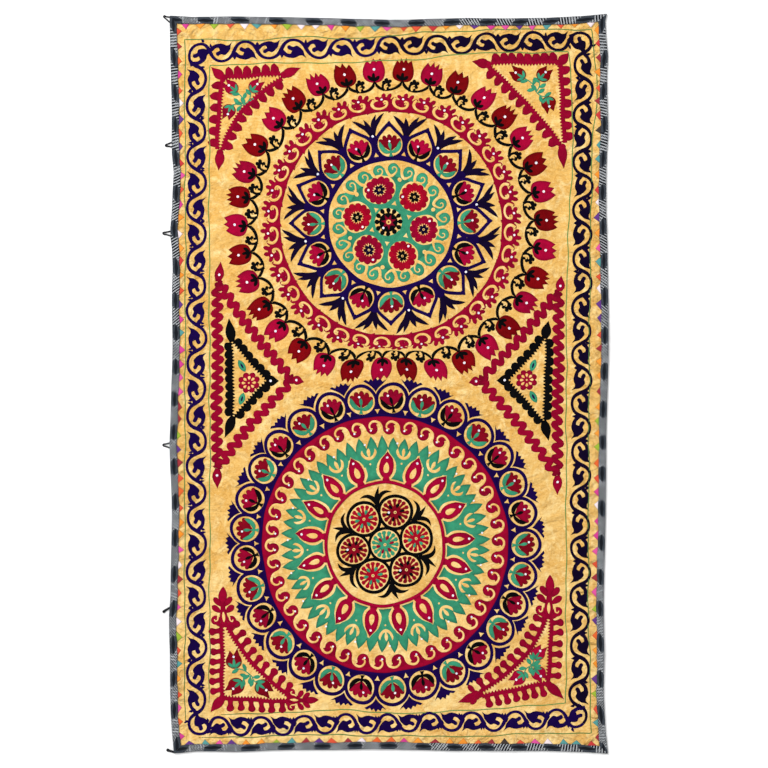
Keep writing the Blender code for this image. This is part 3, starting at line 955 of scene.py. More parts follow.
def upper_medallion():
    made = Motif()

    # The middle disc: teal web, seven rosettes, and waves running round its rim.
    made.sew("teal", disc(152, 0, 96, 24))
    made.add(black_rosette(), (-7, 4))
    places, turns = around(6, 107, math.radians(-11))
    plum = round_rosette("crimson", "aubergine").sequin(14, 30, 5)
    red = round_rosette("red", "black").sequin(-22, 28, 5)
    made.add(plum, places[0::2], turns[0::2])
    made.add(red, places[1::2], turns[1::2])
    gaps, gap_turns = around(6, 62, math.radians(19))
    made.sew("yellow", moved(star(3, 9, 4, 2), gaps, gap_turns))
    gaps, _ = around(6, 139, math.radians(19))
    made.sew("yellow", moved(disc(6.5, 2, 10, 1), gaps))
    places, turns = around(22, 169, math.radians(5.5))
    made.add(teal_wave(), places, turns)
    made.sew("violet", ring(202, 5.4, 0, 128))

    # Sixteen pointed chambers: a circle with two straight sides that meet in a point, r = R / cos(a0 - |a|).
    angle = np.linspace(-math.pi, math.pi, 65)
    wall = 44.5 / np.cos(np.clip(0.817 - np.abs(angle), 0, None))
    chamber = Motif().sew("violet", ribbon(polar(wall, angle), 5.4, 0, closed=True, lanes=5))
    chamber.sew("violet", leaf(20, 15, fat=0.4, start=53, steps=5))
    turns = spaced(16, math.radians(1), 0.015)
    places = polar(249, turns)
    made.add(chamber, places, turns)
    made.add(webbing("violet", turns, 202, 249, 44.5))
    made.add(chamber_flower("wine", "teal").sequin(10, 2, 3), places[0::2], turns[0::2] + 0.05, 0.94)
    made.add(chamber_flower("magenta", "black").sequin(6, 8, 3), places[1::2], turns[1::2] - 0.05, 0.94)
    gaps = halfway(turns)
    made.add(crest_leaves(), polar(281, gaps), gaps, mirrored=np.arange(16) % 5 == 0)
    made.sew("yellow", moved(star(3, 9.5, 4.6, 1), polar(218, gaps), gaps))
    made.add(Motif().sequin(0, 0, 2), polar(276, gaps[::2]))

    # The crimson ring and its flowering waves.
    circle = np.linspace(0, TURN, 36 * 6 + 1)
    made.sew("crimson", band(polar(348, circle), polar(372, circle), 0, 5, open_ends=True))
    places, turns = around(36, 389, math.radians(4.6))
    made.add(flowering_wave(), places, turns, 1.0)

    # The black garland with its buds, and the ring of tulips.
    count = 34
    turns = spaced(count, math.radians(1), 0.010)
    step = np.linspace(0, count, count * 16 + 1)
    sag = 453 - 29 * np.sin(math.pi * (step % 1)) ** 0.6
    made.sew("black", ribbon(polar(sag, along_ring(turns, step)), 5.0, 0, closed=True))
    buds = halfway(turns, 0.56)
    made.add(garland_bud(), polar(446, buds), buds)
    places = polar(486, turns)
    turns = turns + random.uniform(-0.10, 0.10, count)
    bright = np.arange(count) % 2 == 1
    some = np.arange(count) % 4 < 2
    made.add(tulip("magenta", THREE_TEETH), places[bright & some], turns[bright & some], 1.04)
    made.add(tulip("magenta", FOUR_TEETH), places[bright & ~some], turns[bright & ~some], 1.04, True)
    made.add(tulip("scarlet", FOUR_TEETH), places[~bright & some], turns[~bright & some], 1.04)
    made.add(tulip("scarlet", THREE_TEETH), places[~bright & ~some], turns[~bright & ~some], 1.04, True)
    return made.reshaped(upper_shape())


def upper_shape():
    """The upper medallion's rings, with the garland and tulips pressed in to clear the border and the
    lower rings.

    Each pressing is depth exp(-((a - middle) / width)^2), as a share of the radius, from the crimson ring
    outwards.
    """
    drawn = out_of_round(0.015)

    def reach(angle, radius):
        turn = angle % TURN
        below = 0.074 * np.exp(-(((turn - 1.5 * math.pi) / 0.30) ** 2))
        above = 0.025 * np.exp(-(((turn - 0.5 * math.pi) / 0.35) ** 2))
        return drawn(angle, radius) - (below + above) * np.clip((radius - 385) / 45, 0, 1)

    return reach


# ---------------------------------------------------------------- the lower medallion


def crimson_wave():
    """A wave that breaks inwards from the crimson ring, with a pale line that winds in to its middle."""
    wave = Motif()
    foot = ((-13, 11), (-7, 18), (3, 22), (12, 30), (33, 34), (33, -24), (14, -20), (0, 0))
    wave.sew("crimson", filled(outline_of(foot), 0, 3, (11, 4)))
    wave.sew("crimson", disc(18.6, 0, 26, 3))
    winding = (
        (-20, -25, 7.5), (-7, -29, 5.6), (5, -29.5, 4.6), (16, -24.5, 4.0), (22, -13, 3.9), (21, -2, 3.8),
        (14, 5.5, 3.5), (6, 7.4, 3.0), (0, 4.5, 2.6), (-1, -2, 2.3),
    )
    wave.sew("yellow", stroke(winding, 1, 3))
    return wave.sequin(-5, 5, 2, 3.2)


def almond():
    """A pointed pod on the magenta ring, with a pale core and a pale margin."""
    made = Motif()
    half = ((52, 0), (40, 9), (24, 19), (4, 23.5), (-14, 22), (-28, 14), (-37, 9.5), (-46, 12))
    body = outline_of((half[0], *half, *((x, -y) for x, y in reversed(half[1:])), half[0]), 2)
    made.sew("yellow", filled(body * (1.14, 1.42), 1, 4))
    made.sew("magenta", filled(body, 2, 4))
    core = ((19, 0), (19, 0), (7, 7.5), (-8, 9.5), (-18, 6), (-21, 0), (-18, -6), (-8, -9.5), (7, -7.5))
    core = outline_of(core, 2)
    made.sew("yellow", filled(core, 3, 3))
    return made.sequin(32, 0, 3)


def lily():
    """A small pale flower with three pointed petals, and the dot of its stalk."""
    made = Motif()
    cup = (
        (15, -19, 0.4), (5, -20, 4.4), (-8, -13, 5.0), (-14, 0, 5.6), (-8, 13, 5.0), (5, 20, 4.4),
        (15, 19, 0.4),
    )
    made.sew("yellow", stroke(cup, 1, 3))
    made.sew("yellow", leaf(34, 12, fat=0.6, steps=6, start=-15, level=1))
    return made.sew("yellow", disc(5, 1, 10, 1, (-31, 0)))


def sprig():
    """Black leaves between two wheels: one follows each wheel's edge, and one or two spikes stand between
    them.
    """
    made = Motif()
    for side in (1, -1):
        made.sew("black", stroke(((-10, 0, 3), (4, side * 2, 6), (18, side * 8, 7.5), (30, side * 20, 6.4),
                                  (34, side * 34, 4.4), (31, side * 50, 0.3)), 0, 3))
    return made.sew("black", stroke(((4, 0, 6), (22, 2, 7), (38, 7, 4.8), (55, 13, 0.3)), 0, 3))


def lower_medallion():
    made = Motif()

    # Seven wheels ringed in black, with sprigs between them.
    places, turns = around(6, 103, math.radians(10))
    backing = Motif().sew("black", disc(57.5, 0, 44, 6))
    made.add(backing, np.concatenate([places, [(0, 0)]]))
    made.add(wheel_rosette("teal", "crimson"))
    made.add(wheel_rosette("red", "teal"), places[0::2])
    made.add(wheel_rosette("wine", "black").sequin(-20, 0, 4), places[1::2])
    gaps, gap_turns = around(6, 123, math.radians(40))
    made.add(sprig(), gaps, gap_turns, mirrored=np.arange(6) % 2 == 1)
    small, small_turns = around(6, 59, math.radians(40))
    made.sew("yellow", moved(star(3, 8, 3.6, 1), small, small_turns))

    # The magenta ring, the teal flames, and the almonds and lilies on them.
    made.sew("magenta", ring(191, 5.2, 3, 96))
    count = 57
    phase = np.linspace(0, count, count * 8 + 1)
    circle = phase * TURN / count
    tooth = (1 - np.abs(2 * (phase % 1) - 1)) ** 0.75
    tip = 339 + 3 * np.sin(phase * 0.9) + 2 * np.sin(phase * 2.3)
    flames = polar(303 + (tip - 303) * tooth, circle)
    made.sew("teal", band(polar(199, circle), flames, 0, 16, open_ends=True))
    turns = spaced(17, math.radians(5), 0.020)
    made.add(almond(), polar(238, turns), turns)
    between = halfway(turns)
    made.add(lily(), polar(284, between), between)
    sequins, _ = around(19, 316, math.radians(7))
    made.add(Motif().sequin(0, 0, 1, 3.2), sequins)

    # The crimson ring with its waves that break inwards.
    circle = np.linspace(0, TURN, 42 * 6 + 1)
    made.sew("crimson", band(polar(398, circle), polar(377, circle), 0, 4, open_ends=True))
    places, turns = around(42, 361, math.radians(2))
    made.add(crimson_wave(), places, turns)
    made.sew("violet", ring(402, 5.2, 0, 160))

    # Twenty-nine round chambers and the crests between them.
    chamber = Motif().sew("violet", ring(47, 5.6, 0, 40))
    turns = spaced(29, 0, 0.008)
    places = polar(450, turns)
    made.add(chamber, places, turns)
    made.add(webbing("violet", turns, 402, 450, 47))
    gaps = halfway(turns)
    teal_one = np.arange(29) % 2 == 0
    turns = turns + random.uniform(-0.25, 0.25, 29)
    made.add(chamber_flower("wine", "teal").sequin(12, 8, 3), places[teal_one], turns[teal_one], 0.95)
    made.add(chamber_flower("crimson", "black").sequin(14, 10, 3), places[~teal_one], turns[~teal_one], 0.95)
    made.sew("yellow", moved(star(3, 10, 4.6, 1), polar(416, gaps), gaps + math.pi / 3))
    crest = outline_of((
        (0, 0), (0, 0), (12, 8), (22, 20), (33, 38), (33, 38), (38, 30), (29, 23), (40, 15), (34, 8), (45, 1),
        (36, -6), (42, -15), (31, -21), (37, -34), (37, -34), (22, -20), (11, -8),
    ), 2)
    crest = Motif().sew("violet", filled(crest, 0, 3, (18, 0)))
    made.add(crest, polar(475, gaps), gaps, mirrored=np.arange(29) % 3 == 0)
    return made.reshaped(out_of_round(0.035))


# ---------------------------------------------------------------- side and corner triangles


def bowed(start, end, middle, bow=0.0, steps=24):
    """A side of a triangle, bowed in towards its middle by bow sin(pi t), and the unit vectors out of it."""
    start, end, middle = (np.array(p, float) for p in (start, end, middle))
    along = (end - start) / np.linalg.norm(end - start)
    out = np.array([-along[1], along[0]])
    if np.dot((start + end) / 2 - middle, out) < 0:
        out = -out
    t = np.linspace(0, 1, steps + 1)[:, None]
    path = start + (end - start) * t - out * bow * np.sin(math.pi * t)
    ahead = np.gradient(path, axis=0)
    ahead /= np.linalg.norm(ahead, axis=1)[:, None]
    aside = np.stack([-ahead[:, 1], ahead[:, 0]], axis=1)
    return path, aside * (1 if np.dot(aside[0], out) > 0 else -1)


def along_side(side, far):
    """Places at these distances along a bowed side, and the unit vectors out of it there."""
    path, out = side
    length = np.concatenate([[0], np.cumsum(np.linalg.norm(np.diff(path, axis=0), axis=1))])
    at = np.stack([np.interp(far, length, path[:, k]) for k in (0, 1)], axis=-1)
    return at, np.stack([np.interp(far, length, out[:, k]) for k in (0, 1)], axis=-1)


def side_length(side):
    return np.linalg.norm(np.diff(side[0], axis=0), axis=1).sum()


def wave_side(thread, side, pitch=33, swing=12.0, half_width=9.0):
    """A thick line that winds from side to side: swing cos, slow on its way in and quick on its way out."""
    length = side_length(side)
    count = max(1, round(length / pitch))
    t = np.linspace(0, 1, count * 12 + 1)
    phase = TURN * count * t
    at, out = along_side(side, np.clip(t * length - 0.10 * pitch * np.cos(phase), 0, length))
    return Motif().sew(thread, ribbon(at + out * (swing * np.cos(phase))[:, None], half_width, 0, lanes=5))


def toothed_side(thread, side, inner, outer, pitch=10.0, depth=7.0):
    """A band between two distances out of a side, with small teeth along its inner edge."""
    length = side_length(side)
    count = max(1, round(length / pitch))
    at, out = along_side(side, np.linspace(0, length, count * 2 + 1))
    saw = np.where(np.arange(len(at)) % 2, inner - depth / 2, inner + depth / 2)
    return Motif().sew(thread, band(at + out * saw[:, None], at + out * outer, 0, 6, open_ends=True))


def lobes_along(lobe, side, out_by, pitch, inset=0.0, lean=0.0):
    """Copies of a lobe that stand out of a side at this pitch, this far out and leaning a little."""
    length = side_length(side) - 2 * inset
    count = max(1, round(length / pitch))
    at, out = along_side(side, inset + (np.arange(count) + 0.5) * length / count)
    turns = np.arctan2(out[:, 1], out[:, 0]) + lean + random.uniform(-0.06, 0.06, count)
    return Motif().add(lobe, at + out * out_by, turns, random.uniform(0.95, 1.04, count))


def finial(thread, root, tip, width=28, sequin=True):
    """A pointed leaf from root to tip on a triangle's corner: broad foot, widest at two fifths, drawn-out
    tip.
    """
    root, tip = np.array(root, float), np.array(tip, float)
    t = np.linspace(0, 1, 13)
    shares = (0.55, 0.62, 0.92, 1, 0.82, 0.38, 0)
    half_width = width / 2 * np.interp(t, (0, 0.1, 0.25, 0.42, 0.6, 0.8, 1), shares)
    path = root + (tip - root) * t[:, None]
    made = Motif().sew(thread, ribbon(path, half_width, 0))
    if sequin:
        made.sequin(*(root + (tip - root) * 0.35), 2)
    return made


def side_triangle(wave, wave_tips, black, black_tips, rosette, leaves):
    """A wavy crimson triangle round a scalloped black one, with a rosette and two leaves inside.

    Both triangles are given by the corners that their lines run through and by the tips of their finials.
    """
    made = Motif()
    middle = np.mean(wave, axis=0)
    for k in range(3):
        made.add(wave_side("crimson", bowed(wave[k], wave[(k + 1) % 3], middle, (6, 6, 0)[k])))
        made.add(finial("crimson", wave[k], wave_tips[k], 30))
    lobe = Motif().sew("black", leaf(22, 28, fat=0.5, steps=6, start=-8, blunt=0.55))
    middle = np.mean(black, axis=0)
    for k in range(3):
        side = bowed(black[k], black[(k + 1) % 3], middle, (3, 3, 0)[k])
        made.add(toothed_side("black", side, 0, 18, 10.5, 8))
        made.add(lobes_along(lobe, side, 15, 27))
        made.add(finial("black", black[k], black_tips[k], 33, k == 1))
    made.sew("crimson", moved(filled(lobed(35, 8, 0.24, 8), 0, 3), rosette))
    made.sew("yellow", moved(petals(8, 9, 13, 9.5, 1), rosette))
    made.sew("yellow", moved(disc(4.5, 1, 8, 1), rosette))
    for place in leaves:
        turn = math.atan2(*(np.array(place) - rosette)[::-1]) + 0.15
        made.sew("teal", moved(leaf(42, 21, fat=0.5, start=-21, blunt=0.7), place, turn))
        made.sew("violet", moved(leaf(20, 7, fat=0.5, start=-10, level=1), place, turn))
    return made


def split_bud(head_thread, radius):
    """A bud in two halves with pointed ends, a teal calyx at its foot and a sequin."""
    made = Motif()
    back = polar(radius, np.linspace(0.85, TURN - 0.85, 22))
    mouth = np.array([(1.55, -0.55), (0.75, 0.0), (1.35, 0.42)]) * radius
    made.sew(head_thread, filled(np.array([*back, *mouth, back[0]]), 0, 3))
    for turn, length in ((-0.85, 1.1), (0.0, 1.2), (0.85, 1.0)):
        calyx = leaf(length * radius, 0.42 * radius, steps=6, level=1, blunt=0.7)
        made.sew("teal", moved(calyx, (-radius * 0.85, 0), turn))
    return made.sequin(radius * 0.5, 0, 2)


def bud_spray(buds, foot, head_thread, radius=21):
    """Buds of a corner on thin stems that run from one foot, each with leaves along its stem."""
    made = Motif()
    foot = np.array(foot, float)
    for x, y, turn in buds:
        turn = math.radians(turn)
        made.add(split_bud(head_thread, radius), (x, y), turn)
        end = np.array([x, y]) - polar(radius * 0.9, turn)
        bow = (foot + end) / 2 + np.array([end[1] - foot[1], foot[0] - end[0]]) * 0.12
        stem = spline((foot, bow, end), 4)
        made.sew("teal", ribbon(stem, 1.8, 0))
        ahead = math.atan2(*(end - foot)[::-1])
        for share, side in ((0.15, 1), (0.45, -1), (0.8, 1)):
            at = stem[int(share * (len(stem) - 1))]
            made.sew("teal", moved(leaf(26, 13, 3, fat=0.55, steps=6), at, ahead + side * 0.9))
    return made


def corner_triangle(corners, tips, lobe, pitches, band_width, bow, finial_width=32):
    """A toothed triangle with lobes standing out of all its sides and a leaf on each of its corners.

    Its corners are those of the yellow field inside it, and its second side bows in.
    """
    made = Motif()
    middle = np.mean(corners, axis=0)
    for k in range(3):
        side = bowed(corners[k], corners[(k + 1) % 3], middle, (0, bow, 0)[k])
        made.add(toothed_side("crimson", side, 0, band_width + 4, 10.0, 7))
        made.add(lobes_along(lobe, side, band_width, pitches[k], 2, 0.08))
    for corner, tip in zip(corners, tips):
        out = np.array(tip, float) - corner
        made.add(finial("crimson", corner + out * 0.06, tip, finial_width, False))
        made.sew("crimson", disc(12, 0, 16, 2, corner + out * 0.16))
    return made


def crown():
    """The head of a comb: a stem split by a pale eye, a curl on each side, four leaves and a pointed one
    on top.
    """
    made = Motif()
    stem = ((-6, 0, 12), (8, 0, 13), (25, 0, 14), (44, 0, 10), (60, 0, 8), (74, 0, 7))
    made.sew("crimson", stroke(stem, 0, 3))
    made.sew("yellow", leaf(36, 11, fat=0.5, start=6, level=1))
    for side in (1, -1):
        made.sew("crimson", disc(15.5, 0, 20, 3, (14, side * 27)))
        made.sew("crimson", stroke(((-2, side * 8, 8), (2, side * 18, 8), (8, side * 26, 7)), 0, 2))
        winding = ((34, side * 15, 2.6), (24, side * 19, 2.6), (14, side * 21, 2.4), (11, side * 28, 2.2),
                   (17, side * 31, 1.6))
        made.sew("yellow", stroke(winding, 1, 3))
        made.sew("crimson", moved(leaf(41, 21, fat=0.62, blunt=0.55), (36, side * 5), side * 0.92))
        made.sew("crimson", moved(leaf(41, 20, fat=0.62, blunt=0.55), (55, side * 4), side * 0.66))
    return made.sew("crimson", leaf(56, 29, fat=0.42, start=66, blunt=0.8))


def triangles():
    made = Motif()
    made.add(side_triangle(
        ((-530, 318), (-300, 14), (-533, -260)), ((-522, 380), (-261, 6), (-529, -322)),
        ((-484, 133), (-383, 12), (-478, -98)), ((-495, 207), (-342, 12), (-509, -167)),
        (-434, 7), ((-457, 59), (-456, -44)),
    ))
    made.add(side_triangle(
        ((528, 288), (284, 14), (521, -280)), ((534, 337), (246, 6), (525, -342)),
        ((484, 143), (374, 12), (480, -112)), ((495, 200), (336, 11), (494, -177)),
        (428, 13), ((448, 60), (450, -40)),
    ))
    leafy = Motif().sew("crimson", filled(outline_of((
        (-6, -11), (6, -14.5), (17, -12.5), (28.5, -2), (28.5, -2), (23, 8), (12, 12.5), (-6, 13),
    )), 0, 3, (8, 0)))
    knobbed = Motif().sew("crimson", filled(outline_of((
        (-4, -12), (7, -8.5), (15, -8), (25, -12), (33, -10), (37, -1), (34, 8), (26, 12.5), (17, 9),
        (7, 8), (-4, 12),
    )), 0, 3, (18, 0)))

    made.add(corner_triangle(
        ((-510, 946), (-337, 955), (-524, 728)), ((-553, 986), (-272, 980), (-528, 661)),
        leafy, (30, 35, 35), 12, 30,
    ))
    made.add(bud_spray(((-489, 921, 145), (-415, 923, 45), (-494, 848, 250)), (-450, 864), "crimson", 22))
    made.add(corner_triangle(
        ((523, 993), (316, 989), (538, 748)), ((560, 1030), (258, 1000), (541, 668)),
        leafy, (26.5, 34, 34), 12, 9,
    ))
    made.add(bud_spray(((402, 960, 150), (478, 960, 50), (497, 872, -75)), (458, 905), "scarlet", 23))
    made.add(corner_triangle(
        ((-508, -966), (-511, -745), (-310, -973)), ((-552, -1018), (-511, -700), (-268, -976)),
        knobbed, (29, 32, 31), 11, 20,
    ))
    made.add(crown(), (-511, -743), math.radians(91), 0.96)
    made.add(crown(), (-312, -976), math.radians(-2), 0.80)
    made.add(bud_spray(((-482, -856, 92), (-471, -934, 225), (-391, -938, -35)), (-426, -902), "wine", 26))
    made.add(corner_triangle(
        ((488, -920), (496, -718), (288, -957)), ((546, -978), (497, -674), (250, -966)),
        knobbed, (31, 33, 30), 11, 34,
    ))
    made.add(crown(), (497, -716), math.radians(88), 1.02)
    made.add(finial("crimson", (282, -958), (216, -988), 30, False))
    made.sew("crimson", moved(leaf(38, 19, fat=0.6, blunt=0.6), (272, -958), 2.35))
    made.sew("crimson", moved(leaf(36, 19, fat=0.6, blunt=0.6), (276, -962), -2.2))
    made.add(bud_spray(((462, -833, 55), (405, -908, 215), (466, -897, -50)), (440, -872), "magenta", 23))
    return made


# ---------------------------------------------------------------- the vine border and its lines

OUTER_LINE = (
    (-632, -1097), (-632, -300), (-630, 400), (-632, 1068), (-530, 1070), (-400, 1066), (-275, 1078),
    (-150, 1073),
    (-20, 1076), (110, 1091), (315, 1099), (500, 1101), (630, 1101), (644, 960), (645, 880), (630, 740),
    (622, 200),
    (618, -670), (628, -1080), (400, -1084), (190, -1092), (-70, -1087), (-300, -1086), (-500, -1094),
    (-632, -1097),
)
INNER_LINE = (
    (-556, -1027), (-554, -300), (-556, 300), (-557, 990), (-400, 995), (-150, 998), (80, 1006), (220, 1025),
    (440, 1029), (559, 1034), (573, 760), (561, 560), (551, 300), (550, -450), (550, -990), (400, -998),
    (220, -1012), (80, -1020), (-150, -1009), (-380, -1018), (-556, -1027),
)
VINE_CORNERS = ((-596, -1062), (-596, 1030), (604, 1068), (590, -1037))
VINE_LOOPS = (26, 16, 28, 18)
VINE_SWING = 28.0
LOOP_LENGTH = 76.0

# One loop of the vine, in millimetres: x along its course, y out towards the bulge of the stem.
LEAF_BODY = (
    (-7, 4), (3, 9), (10, 10.5), (18, 5), (25, -3), (29, -10), (31, -21), (36, -31), (36, -31), (27, -23.5),
    (16, -22), (8, -26), (-4, -28.5), (-13, -25), (-11, -14), (-7, -6),
)
LEAF_ARM = ((-44, -2, 8), (-34, -8, 7), (-23, -17, 6), (-10, -20, 7), (2, -16, 9))
LEAF_KNOB = ((-14, 5, 6.6), (-7, 2, 5.5), (1, -1, 7))
THORNS = ((-35, -13, 14, 9, -1.75), (37, 12, 16, 9, 1.35))


def side_path(start, end, steps):
    return np.linspace(start, end, steps + 1)


def vine_course():
    """Where the vine runs, clockwise from the lower left: the four corners rounded off, a point every 4
    mm.
    """
    corners = np.array(VINE_CORNERS, float)
    path = []
    for k in range(4):
        before, here, after = corners[k - 1], corners[k], corners[(k + 1) % 4]
        back = (before - here) / np.linalg.norm(before - here)
        on = (after - here) / np.linalg.norm(after - here)
        t = np.linspace(0, 1, 9)[:, None]
        start, end = here + back * 26, here + on * 26
        path.append((1 - t) ** 2 * start + 2 * t * (1 - t) * here + t**2 * end)
        path.append(side_path(end, after - on * 26, 500)[1:-1])
    path = np.concatenate(path)
    return np.concatenate([path, path[:1]])


def vine():
    """A stem that swings from side to side, and in every loop a leaf that curls round its own knob."""
    course = vine_course()
    length = np.concatenate([[0], np.cumsum(np.linalg.norm(np.diff(course, axis=0), axis=1))])
    at_corner = [length[np.argmin(np.linalg.norm(course - c, axis=1))] for c in np.array(VINE_CORNERS)]
    at_corner = np.array([*at_corner, length[-1] + at_corner[0]])
    loops_before = np.concatenate([[0], np.cumsum(VINE_LOOPS)])

    def on_course(loop, out):
        """Design place of a loop number and a distance out from the course, and the way the course heads."""
        far = np.interp(loop, loops_before, at_corner) % length[-1]
        ahead_by = np.stack([np.interp((far + 6) % length[-1], length, course[:, k]) for k in (0, 1)], -1)
        behind_by = np.stack([np.interp((far - 6) % length[-1], length, course[:, k]) for k in (0, 1)], -1)
        here = np.stack([np.interp(far, length, course[:, k]) for k in (0, 1)], -1)
        ahead = ahead_by - behind_by
        ahead /= np.linalg.norm(ahead, axis=-1)[..., None]
        normal = np.stack([-ahead[..., 1], ahead[..., 0]], axis=-1)
        return here + normal * out[..., None], np.arctan2(ahead[..., 1], ahead[..., 0])

    made = {"violet": Motif(), "aubergine": Motif()}
    total = loops_before[-1]
    per_loop = 20
    t = np.arange(total * per_loop + 1) / per_loop
    swing = VINE_SWING * np.cos(math.pi * t)
    rounder = t + 0.07 * np.sin(TURN * t)
    path, _ = on_course(rounder, swing)
    half_width = 4.6 + 1.6 * np.abs(np.sin(math.pi * t)) ** 3
    dark_from, dark_to = 34 * per_loop, 70 * per_loop
    last = total * per_loop
    parts = (("violet", 0, dark_from), ("aubergine", dark_from, dark_to), ("violet", dark_to, last))
    for thread, low, high in parts:
        made[thread].sew(thread, ribbon(path[low : high + 1], half_width[low : high + 1], 0, open_ends=True))

    body = filled(outline_of(LEAF_BODY, 2), 0, 3, (6, -9))
    arm = ribbon(spline([p[:2] for p in LEAF_ARM], 3), spline([(p[2], 0) for p in LEAF_ARM], 3)[:, 0])
    neck = ribbon(spline([p[:2] for p in LEAF_KNOB], 3), np.linspace(6.2, 7, 7), open_ends=True)
    for loop in range(total):
        thread = "aubergine" if dark_from <= loop * per_loop < dark_to else "violet"
        side = 1 if loop % 2 == 0 else -1
        place, turn = on_course(np.array([float(loop)]), np.array([0.0]))
        stretch = (at_corner[-1] - at_corner[0]) / total / LOOP_LENGTH * random.uniform(0.96, 1.03)
        one = Motif()
        for grid in (body, arm, neck, disc(6.8, 0, 14, 2, (-13.5, 5.5))):
            one.sew(thread, grid)
        for x, y, long, wide, way in THORNS:
            one.sew(thread, moved(leaf(long, wide, fat=0.3, steps=5), (x, y), way))
        made[thread].add(one, place, turn + random.uniform(-0.03, 0.03), stretch, side < 0)
    return made


def chain_line(corners, thread="green", half_width=1.7):
    """A line of chain stitch through these points, with a slight waver."""
    corners = np.array(corners, float)
    far = np.concatenate([[0], np.cumsum(np.linalg.norm(np.diff(corners, axis=0), axis=1))])
    at = np.linspace(0, far[-1], int(far[-1] / 9))
    path = np.stack([np.interp(at, far, corners[:, k]) for k in (0, 1)], axis=1)
    path += 0.7 * np.stack([np.sin(at / 23), np.sin(at / 29 + 1)], axis=1)
    return Motif().sew(thread, ribbon(path, half_width, 0, lanes=4))


# ---------------------------------------------------------------- ground, binding, points and loops


def ground():
    """The sheet: points straight between the four bowed edges, on the folds, thickened downwards."""
    u, v = (np.linspace(0, 1, count + 1) for count in GROUND_CELLS)
    inset = 0.0018
    straight_x = LEFTMOST + (RIGHTMOST - LEFTMOST) * u
    straight_y = LOWEST + (HIGHEST - LOWEST) * v
    left, right = edge("left", straight_y) + inset, edge("right", straight_y) - inset
    bottom, top = edge("bottom", straight_x) + inset, edge("top", straight_x) - inset
    x = left[None, :] * (1 - u[:, None]) + right[None, :] * u[:, None]
    y = bottom[:, None] * (1 - v[None, :]) + top[:, None] * v[None, :]
    grid = np.stack([x, y, on_face(x, y)], axis=-1)[None]
    sheet = mesh_object("ground_sheet", [grid], ground_finish())
    solid = sheet.modifiers.new("thickness", "SOLIDIFY")
    solid.thickness = GROUND_THICKNESS
    solid.offset = -1
    return sheet


def tape_profile():
    """The folded tape's cross-section, from the inner edge of its front leg round the fold and back
    inside.
    """
    low, high = 0.0, EDGE_HEIGHT
    fold = [
        (0.0012 - 0.0012 * math.sin(a), high / 2 + high / 2 * math.cos(a)) for a in np.linspace(0.35, 2.8, 6)
    ]
    front = [(inset, high) for inset in np.linspace(BINDING_WIDTH, 0.002, 6)]
    back = [(inset, low) for inset in np.linspace(0.002, BINDING_WIDTH, 4)]
    inside = [
        (BINDING_WIDTH, TAPE_THICKNESS), (0.0025, TAPE_THICKNESS), (0.0014, 0.0016),
        (0.0014, 0.0036), (0.0025, FRONT_LEG_UNDERSIDE), (BINDING_WIDTH, FRONT_LEG_UNDERSIDE),
    ]
    return np.array([*front, *fold, *back, *inside, front[0]])


def on_side(side, share, inset):
    """A world place at a share of a side's length and a distance in from it, the ends cut at 45 degrees."""
    low, high = EDGES[side][0][[0, -1]]
    along = (low + inset) * (1 - share) + (high - inset) * share
    outwards = -1 if side in ("left", "bottom") else 1
    across = edge(side, along) - outwards * inset
    return (across, along) if side in ("left", "right") else (along, across)


def lift_of_edge(x, y):
    """How much the cloth's folds raise the edge over its flat height."""
    return on_face(x, y) - GROUND_THICKNESS - GROUND_UNDERSIDE


def binding(side, finish):
    """A tape carried along one edge: its profile at each station, rising with the folds, puckered a
    little.
    """
    steps = 420 if side in ("left", "right") else 260
    share = np.linspace(0, 1, steps + 1)[:, None]
    profile = tape_profile()
    inset, height = profile[None, :, 0], profile[None, :, 1]
    run = share * steps * 0.0055
    ragged = 0.0009 * np.sin(run * 43 + 1) + 0.0006 * np.sin(run * 117)
    inset = inset + ragged * np.clip((inset - 0.012) / 0.01, 0, 1) * (height > FRONT_LEG_UNDERSIDE / 2)
    x, y = on_side(side, share, inset)
    # The inner side of the fold is a fixed place, so that the whole profile rises together.
    rise = lift_of_edge(*on_side(side, share, np.full_like(inset, 0.026)))
    pucker = 0.0003 * np.sin(run * 170 + 40 * inset) * (height > FRONT_LEG_UNDERSIDE)
    grid = np.stack([x, y, height + np.maximum(rise, 0) + pucker], axis=-1)[None]
    piece = mesh_object(f"tape_{side}", [grid], finish, face_up=False)
    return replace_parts(piece, f"binding_{side}")


POINT_DYES = (
    (214, 66, 30), (236, 140, 20), (208, 40, 140), (150, 6, 40), (84, 26, 130), (64, 150, 150),
    (150, 180, 40),
    (24, 22, 26), (244, 228, 232), (226, 92, 24), (222, 70, 156), (222, 72, 40), (196, 30, 40),
    (240, 150, 40),
)
POINT_PITCH = 0.0435
POINT_MARGIN = 0.050


